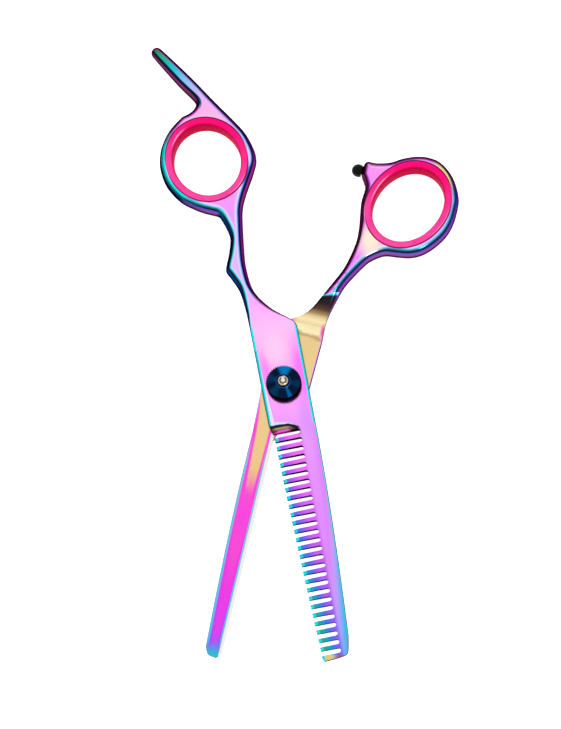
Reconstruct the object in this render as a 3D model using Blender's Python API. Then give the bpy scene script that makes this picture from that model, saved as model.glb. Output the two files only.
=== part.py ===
"""Thinning shears, 6 inch, with an offset handle and a knurled tension dial.

The shears lie flat and open. The two halves cross at the pivot, whose axis is Z.
The origin is on that axis, at the flat underside of the bolt head, which is also the
plane of the two finger inserts' lower rims. +Y runs towards the finger rings, -Y
towards the tips, and +Z is the side of the tension dial.

Each half is drawn shut, with its blade along -Y, and hangs from an empty on the pivot
axis that turns it to its place in the open shears. All sizes are in millimetres.
"""

import math

import bmesh
import bpy
import numpy as np
from mathutils import Vector
from mathutils.geometry import delaunay_2d_cdt

MM = 0.001

# Overall sizes
BLADE_LENGTH = 72.5  # pivot to tip
HANDLE_LENGTH = 65.0  # pivot to the left ring's centre, measured along the half
PLATE_WIDTH = 12.4  # of each half where they cross
PLATE_THICKNESS = 2.8
BLADE_GAP = 0.3  # between the two inner faces
OPEN_COMB = 11.3  # degrees from shut to the stored pose
OPEN_PLAIN = -13.6

# Handles
SHOULDER_Y = 15.8  # top corner of the ride plate
RAMP_TOP_Y = 29.0  # where the handle's full thickness ends
RAMP_FOOT_Y = 19.5  # where the flat ride face begins
HANDLE_ROUND = 1.9  # how far in the handle's edges are rounded
PLATE_ROUND = 0.8  # the same for the ride plate's outer edges
RING_WALL = 1.8  # metal outside a finger insert
LEFT_RING_SEMI = (10.9, 12.0)  # insert's outer half width and half length
LEFT_RING_X = -9.1
LEFT_RING_LEAN = 11.0  # degrees that the ring's length leans from +Y, towards -X
RIGHT_RING_SEMI = (10.75, 12.7)
RIGHT_RING_X = 19.5
RIGHT_RING_DROP = 9.7  # how far the right ring's centre is below the left one's
RIGHT_RING_LEAN = -23.0
TANG_LENGTH = 21.0  # straight part, from its fillet to the centre of its round tip
TANG_LEAN = 32.0  # degrees from +Y
TANG_WIDTH = 3.9
TANG_TIP_RADIUS = 1.55

# Finger inserts
INSERT_WALL = 2.0
INSERT_PROUD = 0.3
INSERT_LIP_DEPTH = 1.1  # of the rebate that each lip sits in
INSERT_GROOVE = 0.6  # how far the insert's waist is inside its lips
INSERT_ROUND = 0.5

# Blades
TEETH = 27
FIRST_TOOTH_Y = -13.1
GAP_SHARE = 0.46  # of each pitch
TOOTH_REACH_HEEL = 5.0  # from the blade's centre line to the tooth tips
TOOTH_REACH_TIP = 3.4
TOOTH_ROOT_HEEL = 2.0
TOOTH_ROOT_TIP = 1.6
TIP_TOOTH_EXTRA = 0.5  # the last tooth is this much wider
NOTCH_DEPTH = 0.35
NOTCH_WIDTH = 0.5
HEEL_Y = -10.2  # where the grind on the comb's face starts
GRIND_LENGTH = 2.0
COMB_BACK_THICKNESS = 1.9
COMB_TIP_THICKNESS = 1.1
TOOTH_TIP_THICKNESS = 0.7
PLAIN_TIP_THICKNESS = 1.3
EDGE_THICKNESS = 0.25
EDGE_BEVEL = 1.6  # width of the plain blade's outer bevel
BLADE_ROUND = 0.7  # how far in the blades' backs are rounded

# Pivot hardware
HEAD_RADIUS = 4.1
HEAD_FLAT = 3.5  # from the axis to each of the head's two flats
HEAD_THICKNESS = 1.2
HEAD_PROUD = 0.3
HEAD_CHAMFER = 0.2
SHAFT_RADIUS = 2.3
NECK_RADIUS = 1.8
NECK_FLAT = 1.45
THREAD_RADIUS = 1.4
THREAD_PITCH = 0.5
STUD_DOME = 0.75
BUSH_WALL = 0.7
BUSH_FLANGE_RADIUS = 3.7
BUSH_FLANGE_THICKNESS = 0.3
WASHER_RADIUS = 4.0
WASHER_THICKNESS = 0.6
SPRING_RADIUS = 3.7
SPRING_THICKNESS = 0.2
SPRING_WAVE = 0.15
SPRING_WAVES = 3
CLICK_RADIUS = 3.7
CLICK_THICKNESS = 0.5
CLICK_NOTCHES = 12
CLICK_NOTCH_DEPTH = 0.3
ADJUST_TRAVEL = THREAD_PITCH / 4  # the dial moves up or down this far in a quarter turn
DIAL_RADIUS = 4.6
DIAL_SKIRT_WALL = 0.55
DIAL_RIM_HEIGHT = 2.7
DIAL_CONE_RISE = 0.9
DIAL_COLLAR_RADIUS = 1.9
DIAL_COLLAR_HEIGHT = 0.2
DIAL_CHAMFER = 0.2
KNURL_TEETH = 40
KNURL_DEPTH = 0.2
BUMPER_RADIUS = 1.8
BUMPER_STEM_RADIUS = 0.8
BUMPER_STEM_LENGTH = 2.2  # from the ball's centre into the boss
BUMPER_ANGLE = 88.6  # degrees round the right ring from its length
BUMPER_OUT = 6.15  # from the insert to the ball's centre
BUMPER_HEADING = 85  # degrees from +Y that the ball faces
BUMPER_FOOT = 1.0  # from the ball's centre back to its flat foot

# Clearances
RUNNING = 0.1  # round a shaft, and between stacked washers
SEAT = 0.2  # between a piece and the pocket that holds it

# Heights, from the rest plane up
PLAIN_FLOOR = HEAD_PROUD
PLAIN_FACE = PLAIN_FLOOR + PLATE_THICKNESS
COMB_FACE = PLAIN_FACE + BLADE_GAP
COMB_ROOF = COMB_FACE + PLATE_THICKNESS
HANDLE_THICKNESS = COMB_ROOF - PLAIN_FLOOR
MID_HEIGHT = (PLAIN_FLOOR + COMB_ROOF) / 2
HEAD_POCKET_ROOF = HEAD_THICKNESS + RUNNING
WASHER_FLOOR = PLAIN_FACE + RUNNING
WASHER_POCKET_ROOF = WASHER_FLOOR + WASHER_THICKNESS + RUNNING
BUSH_FLANGE_FLOOR = COMB_ROOF + RUNNING
BUSH_ROOF = BUSH_FLANGE_FLOOR + BUSH_FLANGE_THICKNESS
SPRING_FLOOR = BUSH_ROOF + RUNNING
SPRING_ROOF = SPRING_FLOOR + SPRING_THICKNESS + 2 * SPRING_WAVE
CLICK_FLOOR = SPRING_ROOF + RUNNING
CLICK_ROOF = CLICK_FLOOR + CLICK_THICKNESS
DIAL_POCKET_ROOF = CLICK_ROOF + RUNNING
DIAL_FLOOR = COMB_ROOF + ADJUST_TRAVEL + RUNNING
DIAL_SHOULDER = DIAL_FLOOR + DIAL_RIM_HEIGHT
DIAL_TOP = DIAL_SHOULDER + DIAL_CONE_RISE
STUD_TOP = DIAL_TOP + DIAL_COLLAR_HEIGHT

PLATE_HALF = PLATE_WIDTH / 2
LEFT_RING = ((LEFT_RING_X, HANDLE_LENGTH), LEFT_RING_SEMI, LEFT_RING_LEAN)
RIGHT_RING = ((RIGHT_RING_X, HANDLE_LENGTH - RIGHT_RING_DROP), RIGHT_RING_SEMI, RIGHT_RING_LEAN)
LEFT_SHANK_TOP = HANDLE_LENGTH - LEFT_RING_SEMI[1] - 6.0
RIGHT_SHANK_TOP = HANDLE_LENGTH - RIGHT_RING_DROP - RIGHT_RING_SEMI[1] - 7.0
BORE_RADIUS = SHAFT_RADIUS + RUNNING
BUSH_RADIUS = BORE_RADIUS + BUSH_WALL
BUSH_BORE_RADIUS = BUSH_RADIUS + RUNNING
TOOTH_PITCH = (BLADE_LENGTH + FIRST_TOOTH_Y - TIP_TOOTH_EXTRA - 0.5) / (TEETH - 1)

# How finely curves are divided
CURVE_STEP = 1.7
ROUND_ANGLES = (28, 58, 90)
CIRCLE_SIDES = 40


# ---------------------------------------------------------------- plan outlines


def blend(start, end, share):
    """The value a share of the way from start to end, eased at both ends."""
    share = np.clip(share, 0, 1)
    return start + (end - start) * share * share * (3 - 2 * share)


def ring_point(ring, angle, out=0.0):
    """A point outside a finger insert's ellipse, at an angle in degrees from its length."""
    centre, (across, along), lean = ring
    turn = math.radians(angle)
    reach = across * along / math.hypot(along * math.sin(turn), across * math.cos(turn)) + out
    heading = turn + math.radians(lean)
    return centre[0] - reach * math.sin(heading), centre[1] + reach * math.cos(heading)


def ring_loop(ring, out=0.0, sides=CIRCLE_SIDES):
    """The loop of points that runs a distance outside a finger insert's ellipse."""
    return [ring_point(ring, 360 * n / sides, out) for n in range(sides)]


def ring_path(ring, steps):
    """The points at several (angle, distance out) steps round a finger insert."""
    return [ring_point(ring, angle, out) for angle, out in steps]


def smooth(points, step=CURVE_STEP):
    """Points along an open curve that runs evenly through the given ones."""
    knots = [np.array(point, float) for point in points]
    knots = [2 * knots[0] - knots[1], *knots, 2 * knots[-1] - knots[-2]]
    curve = []
    for before, start, end, after in zip(knots, knots[1:], knots[2:], knots[3:]):
        span = np.linalg.norm(end - start)
        lead = start + (end - before) / 6 * min(1, 2 * span / np.linalg.norm(end - before))
        tail = end - (after - start) / 6 * min(1, 2 * span / np.linalg.norm(after - start))
        count = max(1, round(span / step))
        for n in range(count):
            t = n / count
            near_start = (1 - t) ** 3 * start + 3 * t * (1 - t) ** 2 * lead
            near_end = 3 * t * t * (1 - t) * tail + t**3 * end
            curve.append(near_start + near_end)
    curve.append(knots[-2])
    return curve


def between(low, high, share):
    """The height a share of the way from one to the other."""
    return low + (high - low) * share


def tang_outline():
    """The tang: its right side from the ring out, its round tip, and its left side back to the fillet."""
    lean = math.radians(TANG_LEAN)
    along = np.array((-math.sin(lean), math.cos(lean)))
    across = np.array((math.cos(lean), math.sin(lean)))
    root = np.array(ring_point(LEFT_RING, -22, 4.3))
    tip = root + along * TANG_LENGTH
    half = TANG_WIDTH / 2
    middle = root + along * TANG_LENGTH / 2
    right = [root - along * 12.0 + across * half, root + across * half, middle + across * half]
    cap = []
    for angle in (0, 45, 90, 135, 180):
        turn = math.radians(angle)
        cap.append(tip + TANG_TIP_RADIUS * (across * math.cos(turn) + along * math.sin(turn)))
    left = [
        middle - across * (half + 0.1),
        root + along * 4.2 - across * half,
        root + along * 2.5 - across * (half + 0.4),
        root + along * 1.8 - across * (half + 2.0),
        root + along * 1.9 - across * (half + 3.8),
        root + along * 2.6 - across * (half + 6.0),
    ]
    return [*right, *cap, *left]


def comb_handle_outline():
    """The comb half's handle, from the plate's right shoulder round to the plate's left side."""
    y = [between(SHOULDER_Y, LEFT_SHANK_TOP, n / 10) for n in range(11)]
    knots = [
        (PLATE_HALF - 1.1, SHOULDER_Y + 1.3),
        (0.3, y[2] - 0.5),
        (-3.2, y[4] - 1.2),
        (-4.1, y[6] - 0.8),
        (-3.7, y[8] - 1.3),
        *ring_path(LEFT_RING, ((-169, 5.7), (-162, 3.5), (-152, 2.1), (-139, 1.5))),
        *ring_path(LEFT_RING, ((-125, 1.6), (-111, 2.1), (-96, 2.0))),
        *tang_outline(),
        *ring_path(LEFT_RING, [(17, 2.3), *((angle, RING_WALL) for angle in (30, 50, 75, 100, 125))]),
        *ring_path(LEFT_RING, ((143, 1.5), (155, 1.9), (164, 2.8), (171, 4.5))),
        (-6.9, y[9] - 0.5),
        (-7.7, y[8] - 1.4),
        (-9.2, y[6] + 0.9),
        (-9.5, y[6] - 0.7),
        (-8.5, y[5] + 0.3),
        (-7.0, y[4] - 0.4),
        (-6.3, y[2] + 0.0),
        (-PLATE_HALF + 0.1, SHOULDER_Y - 1.0),
    ]
    return smooth(knots)


def plain_handle_outline():
    """The plain half's handle, from the plate's right side round to the plate's left shoulder."""
    y = [between(SHOULDER_Y, RIGHT_SHANK_TOP, n / 10) for n in range(11)]
    knots = [
        (PLATE_HALF + 0.1, SHOULDER_Y - 2.0),
        (PLATE_HALF, y[2] + 1.0),
        (8.1, y[6] + 1.0),
        (9.6, y[8] + 0.7),
        *ring_path(RIGHT_RING, ((-178, 6.0), (-173, 3.3), (-167, 2.0), (-155, 1.7), (-141, 2.1))),
        *ring_path(RIGHT_RING, ((-127, 2.3), (-111, 2.2), (-93, 2.2), (-76, 2.0), (-60, 1.8))),
        *ring_path(RIGHT_RING, ((-45, 1.9), (-27, 1.8), (-12, 2.0), (3, 2.3), (17, 2.2), (30, 2.0))),
        *ring_path(RIGHT_RING, ((44, 1.9), (58, 2.1), (71, 3.9), (77, 5.8), (81, 6.0), (91, 4.5))),
        *ring_path(RIGHT_RING, ((96, 3.0), (102, 1.8), (120, 1.4), (136, 1.3), (152, 2.3), (163, 4.8))),
        (7.2, y[10] - 0.2),
        (5.4, y[8] - 0.8),
        (3.4, y[6] - 1.0),
        (0.3, y[3] - 0.6),
        (-PLATE_HALF + 1.1, SHOULDER_Y + 1.3),
    ]
    return smooth(knots)


def along_blade(y):
    """How far a point is along the blade, from 0 at the heel to 1 at the tip."""
    return np.clip((FIRST_TOOTH_Y - y) / (BLADE_LENGTH + FIRST_TOOTH_Y), 0, 1)


def tooth_reach(y):
    """Distance from the centre line to the tooth tips."""
    return between(TOOTH_REACH_HEEL, TOOTH_REACH_TIP, along_blade(y) ** 1.5)


def tooth_root(y):
    """Distance from the centre line to the foot of the gaps."""
    return between(TOOTH_ROOT_HEEL, TOOTH_ROOT_TIP, along_blade(y))


def comb_back(y):
    """Distance from the centre line to the comb's back."""
    share = along_blade(y)
    return between(PLATE_HALF, 3.9, share**1.7)


def tooth_outline(centre_y, half_width):
    """One tooth's tip, from its lower corner to its upper one, with a notch between two prongs."""
    reach = tooth_reach(centre_y)
    return [
        (-reach + 0.15, centre_y - half_width),
        (-reach, centre_y - half_width + 0.15),
        (-reach, centre_y - NOTCH_WIDTH / 2),
        (-reach + NOTCH_DEPTH, centre_y),
        (-reach, centre_y + NOTCH_WIDTH / 2),
        (-reach, centre_y + half_width - 0.15),
        (-reach + 0.15, centre_y + half_width),
    ]


def gap_outline(centre_y, sides=4):
    """The rounded foot of the gap above a tooth, from below to above."""
    half = TOOTH_PITCH * GAP_SHARE / 2
    root = tooth_root(centre_y) - half
    points = []
    for n in range(sides + 1):
        turn = math.pi * (n / sides - 0.5)
        points.append((root + half * math.cos(turn), centre_y + half * math.sin(turn)))
    return points


def comb_outline():
    """The comb's tip and toothed side, from the last tooth up to the heel."""
    half_tooth = TOOTH_PITCH * (1 - GAP_SHARE) / 2
    points = []
    for n in reversed(range(TEETH)):
        y = FIRST_TOOTH_Y - n * TOOTH_PITCH
        if n < TEETH - 1:
            points += tooth_outline(y, half_tooth)
        else:
            reach = tooth_reach(y)
            points.append((-reach + 0.5, -BLADE_LENGTH))
            points.append((-reach, -BLADE_LENGTH + 1.0))
            points.append((-reach, y + half_tooth))
        points += gap_outline(y + TOOTH_PITCH / 2)
    return points


def comb_half_outline():
    """The whole comb half, anticlockwise from the top of the plate's left side."""
    heel = FIRST_TOOTH_Y + TOOTH_PITCH * (0.5 + GAP_SHARE / 2)
    back = [(comb_back(y), y) for y in np.linspace(-BLADE_LENGTH + 5.5, -2.0, 24)]
    tip = [(2.6, -BLADE_LENGTH + 0.7), (3.3, -BLADE_LENGTH + 2.2)]
    heel_side = [(-PLATE_HALF + 0.2, 0.0), (-5.9, heel + 2.6), (-tooth_reach(heel) - 0.2, heel)]
    shoulder = [(PLATE_HALF, SHOULDER_Y - 0.6), (PLATE_HALF - 0.35, SHOULDER_Y + 0.45)]
    toothed_side = comb_outline()[::-1]
    return [*toothed_side, *tip, *back, *shoulder, *comb_handle_outline(), *heel_side]


def plain_spine(y):
    """X of the plain blade's back."""
    share = along_blade(y)
    return -between(5.2, 2.4, share**1.6)


def plain_edge(y):
    """X of the plain blade's cutting edge."""
    return between(0.5, 2.0, along_blade(y) ** 0.8)


def plain_half_outline():
    """The whole plain half, anticlockwise from the plate's left shoulder."""
    spine = [(plain_spine(y), y) for y in np.linspace(FIRST_TOOTH_Y, -BLADE_LENGTH + 2.0, 20)]
    tip = [(-1.5, -BLADE_LENGTH + 0.3), (0.3, -BLADE_LENGTH), (1.4, -BLADE_LENGTH + 0.5)]
    edge = [(plain_edge(y), y) for y in np.linspace(-BLADE_LENGTH + 1.6, FIRST_TOOTH_Y - 1.5, 18)]
    heel = [(1.0, FIRST_TOOTH_Y + 0.9), (3.4, FIRST_TOOTH_Y + 2.6), (5.6, FIRST_TOOTH_Y + 4.6)]
    plate = [(PLATE_HALF, FIRST_TOOTH_Y + 8.6)]
    shoulder = [(-PLATE_HALF + 0.35, SHOULDER_Y + 0.45), (-PLATE_HALF, SHOULDER_Y - 0.6)]
    left = [(-PLATE_HALF, 4.0), (-5.7, -5.0)]
    return [*shoulder, *left, *spine, *tip, *edge, *heel, *plate, *plain_handle_outline()]


# ---------------------------------------------------------------- solids


def material(name, colour, roughness, metallic):
    """A plain Principled material."""
    made = bpy.data.materials.new(name)
    made.use_nodes = True
    shader = made.node_tree.nodes["Principled BSDF"]
    shader.inputs["Base Color"].default_value = (*colour, 1.0)
    shader.inputs["Roughness"].default_value = roughness
    shader.inputs["Metallic"].default_value = metallic
    return made


def as_object(name, points, faces, finish=None, parent=None):
    """An object whose mesh has these points, in millimetres, and these faces."""
    mesh = bpy.data.meshes.new(name)
    mesh.from_pydata([Vector(point) * MM for point in points], [], faces)
    built = bmesh.new()
    built.from_mesh(mesh)
    bmesh.ops.recalc_face_normals(built, faces=built.faces)
    built.to_mesh(mesh)
    built.free()
    mesh.shade_smooth()
    mesh.set_sharp_from_angle(angle=math.radians(32))
    made = bpy.data.objects.new(name, mesh)
    bpy.context.scene.collection.objects.link(made)
    made.parent = parent
    if finish:
        mesh.materials.append(finish)
    return made


def stacked(name, loops, finish=None, parent=None):
    """A solid skinned over loops of equal length, each a list of (x, y, z), capped at both ends."""
    count = len(loops[0])
    points = [point for loop in loops for point in loop]
    faces = [tuple(reversed(range(count))), tuple(range(len(points) - count, len(points)))]
    for level in range(len(loops) - 1):
        for n in range(count):
            low, after = level * count + n, level * count + (n + 1) % count
            faces.append((low, after, after + count, low + count))
    return as_object(name, points, faces, finish, parent)


def closed_band(name, loops, finish=None, parent=None):
    """A ring skinned over loops of equal length, the last joined back to the first."""
    count = len(loops[0])
    points = [point for loop in loops for point in loop]
    faces = []
    for level in range(len(loops)):
        here, above = level * count, (level + 1) % len(loops) * count
        for n in range(count):
            after = (n + 1) % count
            faces.append((here + n, here + after, above + after, above + n))
    return as_object(name, points, faces, finish, parent)


def circle(radius, z, sides=CIRCLE_SIDES):
    """A level circle round the pivot axis."""
    turns = [2 * math.pi * n / sides for n in range(sides)]
    return [(radius * math.cos(turn), radius * math.sin(turn), z) for turn in turns]


def flatted(radius, flat, z, sides=CIRCLE_SIDES):
    """A circle with two flats that face +X and -X."""
    return [(max(-flat, min(flat, x)), y, z) for x, y, z in circle(radius, z, sides)]


def level(points, z):
    """Plan points lifted to one height."""
    return [(x, y, z) for x, y in points]


def cut(target, name, loops):
    """Cuts the solid that is skinned over the loops out of the target."""
    tool = stacked(name, loops, parent=target.parent)
    tool.hide_render = True
    tool.display_type = "WIRE"
    boolean = target.modifiers.new(name, "BOOLEAN")
    boolean.operation = "DIFFERENCE"
    boolean.solver = "EXACT"
    boolean.object = tool


def edge_distance(points, outline):
    """Distance of each point from the nearest side of a closed outline."""
    start = outline[None, :, :]
    side = np.roll(outline, -1, axis=0)[None, :, :] - start
    offset = points[:, None, :] - start
    share = np.clip((offset * side).sum(2) / (side**2).sum(2), 0, 1)
    return np.linalg.norm(offset - share[:, :, None] * side, axis=2).min(1)


def inside(points, outline):
    """Which points lie inside a closed outline."""
    x, y = points[:, 0:1], points[:, 1:2]
    here, there = outline, np.roll(outline, -1, axis=0)
    crosses = (here[:, 1] > y) != (there[:, 1] > y)
    rise = np.where(there[:, 1] == here[:, 1], 1, there[:, 1] - here[:, 1])
    at = here[:, 0] + (y - here[:, 1]) * (there[:, 0] - here[:, 0]) / rise
    return (crosses & (x < at)).sum(1) % 2 == 1


def inset_points(outline, widths):
    """Points inside the outline where its rounded edge needs them, as far in as the rounding goes."""
    side = np.roll(outline, -1, axis=0) - np.roll(outline, 1, axis=0)
    inward = np.stack([-side[:, 1], side[:, 0]], 1) / np.linalg.norm(side, axis=1)[:, None]
    kept = []
    for angle in ROUND_ANGLES:
        depth = widths * (1 - math.cos(math.radians(angle)))
        moved = outline + inward * depth[:, None]
        clear = edge_distance(moved, outline) > 0.93 * depth
        kept.append(moved[clear & (widths > 0.3) & inside(moved, outline)])
    return np.concatenate(kept)


def forged(name, outline, spread, faces_and_rounds, finish, parent):
    """A half: a plan outline between a top and a bottom surface, with rounded edges.

    faces_and_rounds holds the top, the bottom, the top's round and the bottom's round. The
    first two give a height for each plan point, and the rounds give how far in from the
    outline each edge is rounded. spread holds further plan points that the surfaces need.
    """
    top, bottom, top_round, bottom_round = faces_and_rounds
    rim = np.array([(float(x), float(y)) for x, y in outline])
    widths = np.maximum(top_round(rim), bottom_round(rim))
    spread = spread[inside(spread, rim) & (edge_distance(spread, rim) > 0.3)]
    inner = inset_points(rim, widths)
    spare = np.array([np.linalg.norm(inner - point, axis=1).min() > 0.7 for point in spread])
    plan = np.concatenate([rim, inner, spread[spare]])
    count = len(rim)
    sides = [(n, (n + 1) % count) for n in range(count)]
    found = delaunay_2d_cdt([Vector(point) for point in plan], sides, [], 1, 1e-5)
    plan = np.array([tuple(point) for point in found[0]])
    order = {origin: new for new, origins in enumerate(found[3]) for origin in origins}
    corners = np.array(found[2])
    corners = corners[inside(plan[corners].mean(1), rim)]
    depth = edge_distance(plan, rim)

    def rounded(width):
        width = np.maximum(width, 1e-6)
        lean = np.clip(1 - depth / width, 0, 1)
        return width * (1 - np.sqrt(1 - lean**2))

    heights = top(plan), bottom(plan)
    room = 0.46 * (heights[0] - heights[1])
    roof = heights[0] - rounded(np.minimum(top_round(plan), room))
    floor = heights[1] + rounded(np.minimum(bottom_round(plan), room))
    points = [(*point, z) for point, z in zip(plan, roof)]
    points += [(*point, z) for point, z in zip(plan, floor)]
    below = len(plan)
    faces = [tuple(face) for face in corners] + [tuple(below + face[::-1]) for face in corners]
    for n in range(count):
        here, after = order[n], order[(n + 1) % count]
        faces.append((below + here, below + after, after, here))
    return as_object(name, points, faces, finish, parent)


def grid(x_range, y_range, step):
    """Plan points on a square grid."""
    x, y = np.meshgrid(np.arange(*x_range, step), np.arange(*y_range, step))
    return np.stack([x.ravel(), y.ravel()], 1)


def handle_share(y):
    """1 in the full thickness of the handle, 0 at the flat ride face, with a hollow ramp between."""
    share = np.clip((y - RAMP_FOOT_Y) / (RAMP_TOP_Y - RAMP_FOOT_Y), 0, 1)
    return share**1.6


def comb_top(plan):
    """The comb half's upper face: flat to the heel, then ground thinner towards the tip and the teeth."""
    x, y = plan[:, 0], plan[:, 1]
    share = along_blade(y)
    back = COMB_FACE + between(COMB_BACK_THICKNESS + 0.5, COMB_TIP_THICKNESS + 0.3, share)
    teeth = COMB_FACE + between(COMB_BACK_THICKNESS, COMB_TIP_THICKNESS, share)
    teeth = np.maximum(teeth - (TOOTH_ROOT_HEEL - x) * 0.12, COMB_FACE + TOOTH_TIP_THICKNESS)
    ground = np.where(x > TOOTH_ROOT_HEEL, blend(teeth, back, (x - TOOTH_ROOT_HEEL) / 2.5), teeth)
    start = HEEL_Y - 0.6 * np.clip(x - TOOTH_ROOT_HEEL, 0, 3)
    length = GRIND_LENGTH + 9 * np.clip((x - TOOTH_ROOT_HEEL + 0.4) / 2.5, 0, 1)
    step = np.clip((start - y) / length, 0, 1)
    return COMB_ROOF + (ground - COMB_ROOF) * np.sqrt(1 - (1 - step) ** 2)


def comb_bottom(plan):
    """The comb half's lower face: the handle's full depth, then up to the inner face."""
    return COMB_FACE + (PLAIN_FLOOR - COMB_FACE) * handle_share(plan[:, 1])


def comb_top_round(plan):
    """How far in the comb half's upper edges are rounded."""
    x, y = plan[:, 0], plan[:, 1]
    plate = blend(PLATE_ROUND, HANDLE_ROUND, (y - 14) / 16)
    back = np.where(x > TOOTH_ROOT_HEEL, BLADE_ROUND, 0.0)
    return np.where(y > HEEL_Y, plate, back)


def comb_bottom_round(plan):
    """How far in the comb half's lower edges are rounded."""
    return HANDLE_ROUND * handle_share(plan[:, 1]) ** 0.5


def plain_top(plan):
    """The plain half's upper face: the handle's full depth, then down to the inner face."""
    return PLAIN_FACE + (COMB_ROOF - PLAIN_FACE) * handle_share(plan[:, 1])


def plain_bottom(plan):
    """The plain half's lower face: flat under the pivot, thinner to the tip, and bevelled up to the edge."""
    x, y = plan[:, 0], plan[:, 1]
    taper = blend(0, 1, (-y - 7) / 12) * 0.4 + 0.6 * along_blade(y)
    body = PLAIN_FLOOR + (PLATE_THICKNESS - PLAIN_TIP_THICKNESS) * taper
    inset = np.clip((plain_edge(y) - x) / EDGE_BEVEL, 0, 1)
    edge = PLAIN_FACE - EDGE_THICKNESS
    bevelled = edge + (body - edge) * inset
    return np.where(y < FIRST_TOOTH_Y - 1.0, bevelled, body)


def plain_top_round(plan):
    """How far in the plain half's upper edges are rounded."""
    return HANDLE_ROUND * handle_share(plan[:, 1]) ** 0.5


def plain_bottom_round(plan):
    """How far in the plain half's lower edges are rounded."""
    x, y = plan[:, 0], plan[:, 1]
    plate = blend(PLATE_ROUND, HANDLE_ROUND, (y - 14) / 16)
    spine = np.where(x < 0, BLADE_ROUND, 0.0)
    return np.where(y > HEEL_Y, plate, spine)


def ring_cuts(half, name, ring):
    """Cuts the hole for a finger insert, with a rebate in each face for its lips."""
    floor, roof = PLAIN_FLOOR, COMB_ROOF
    waist, lips = SEAT - INSERT_GROOVE, SEAT
    steps = ((-1.0, lips), (floor + INSERT_LIP_DEPTH, lips), (floor + INSERT_LIP_DEPTH, waist))
    steps += ((roof - INSERT_LIP_DEPTH, waist), (roof - INSERT_LIP_DEPTH, lips), (roof + 1.0, lips))
    cut(half, name, [level(ring_loop(ring, out), z) for z, out in steps])


def comb_half(finish, parent):
    """The half with the tang, the left ring and the comb."""
    ramp = grid((-12, 8), (SHOULDER_Y - 2, RAMP_TOP_Y + 1), 1.5)
    heel = grid((-6, 7), (HEEL_Y - 12, HEEL_Y + 1), 0.8)
    back = grid((2.6, 6), (-BLADE_LENGTH, HEEL_Y - 12), 1.6)
    spread = np.concatenate([ramp, heel, back])
    surfaces = comb_top, comb_bottom, comb_top_round, comb_bottom_round
    half = forged("comb_half", comb_half_outline(), spread, surfaces, finish, parent)
    ring_cuts(half, "left_ring_hole", LEFT_RING)
    pocket = WASHER_RADIUS + SEAT
    below, above = COMB_FACE - 1, COMB_ROOF + 1
    cut(half, "washer_pocket", [circle(pocket, below), circle(pocket, WASHER_POCKET_ROOF)])
    cut(half, "bush_bore", [circle(BUSH_BORE_RADIUS, below), circle(BUSH_BORE_RADIUS, above)])


def plain_half(finish, parent):
    """The half with the right ring, the bumper's boss and the plain blade."""
    ramp = grid((-7, 14), (SHOULDER_Y - 2, RAMP_TOP_Y + 1), 1.5)
    blade = grid((-5, 3), (-BLADE_LENGTH, HEEL_Y), 1.6)
    spread = np.concatenate([ramp, blade])
    surfaces = plain_top, plain_bottom, plain_top_round, plain_bottom_round
    half = forged("plain_half", plain_half_outline(), spread, surfaces, finish, parent)
    ring_cuts(half, "right_ring_hole", RIGHT_RING)
    keyed = HEAD_RADIUS + SEAT, HEAD_FLAT + SEAT
    below, above = PLAIN_FLOOR - 1, PLAIN_FACE + 1
    cut(half, "head_pocket", [flatted(*keyed, below), flatted(*keyed, HEAD_POCKET_ROOF)])
    cut(half, "shaft_bore", [circle(BORE_RADIUS, below), circle(BORE_RADIUS, above)])
    hole = BUMPER_STEM_RADIUS + RUNNING
    cut(half, "bumper_hole", bumper_loops((hole, -BUMPER_STEM_LENGTH - SEAT), (hole, 3.0)))


def bumper_axis():
    """Where the bumper's ball is centred, and the way it faces out of its boss."""
    heading = math.radians(BUMPER_HEADING)
    ball = np.array(ring_point(RIGHT_RING, BUMPER_ANGLE, BUMPER_OUT))
    return ball, np.array((-math.sin(heading), math.cos(heading)))


def bumper_loops(*steps, sides=12):
    """Circles round the bumper's axis, each given by its radius and its station from the ball's centre."""
    ball, out = bumper_axis()
    side = np.array((-out[1], out[0]))
    loops = []
    for radius, station in steps:
        loop = []
        for n in range(sides):
            turn = 2 * math.pi * n / sides
            x, y = ball + out * station + side * radius * math.cos(turn)
            loop.append((x, y, MID_HEIGHT + radius * math.sin(turn)))
        loops.append(loop)
    return loops


def bumper(finish, parent):
    """The rubber ball that stops the rings, with a stem in the boss's hole."""
    steps = [(BUMPER_STEM_RADIUS, -BUMPER_STEM_LENGTH), (BUMPER_STEM_RADIUS, -BUMPER_FOOT)]
    first = round(math.degrees(math.acos(BUMPER_FOOT / BUMPER_RADIUS)))
    for angle in range(first, 180, (176 - first) // 6):
        turn = math.radians(angle)
        steps.append((BUMPER_RADIUS * math.sin(turn), -BUMPER_RADIUS * math.cos(turn)))
    stacked("bumper", bumper_loops(*steps), finish, parent)


def finger_insert(name, ring, finish, parent):
    """A soft lining that snaps into a ring, with a lip over each face."""
    floor, roof = PLAIN_FLOOR - INSERT_PROUD, COMB_ROOF + INSERT_PROUD
    low = PLAIN_FLOOR + INSERT_LIP_DEPTH - RUNNING
    high = COMB_ROOF - INSERT_LIP_DEPTH + RUNNING
    soft, wall = INSERT_ROUND, INSERT_WALL
    steps = [(-soft, floor), (0, floor + soft), (0, low), (-INSERT_GROOVE, low)]
    steps += [(-INSERT_GROOVE, high), (0, high), (0, roof - soft), (-soft, roof)]
    steps += [(soft - wall, roof), (-wall, roof - soft), (-wall, floor + soft), (soft - wall, floor)]
    closed_band(name, [level(ring_loop(ring, out), z) for out, z in steps], finish, parent)


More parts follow.
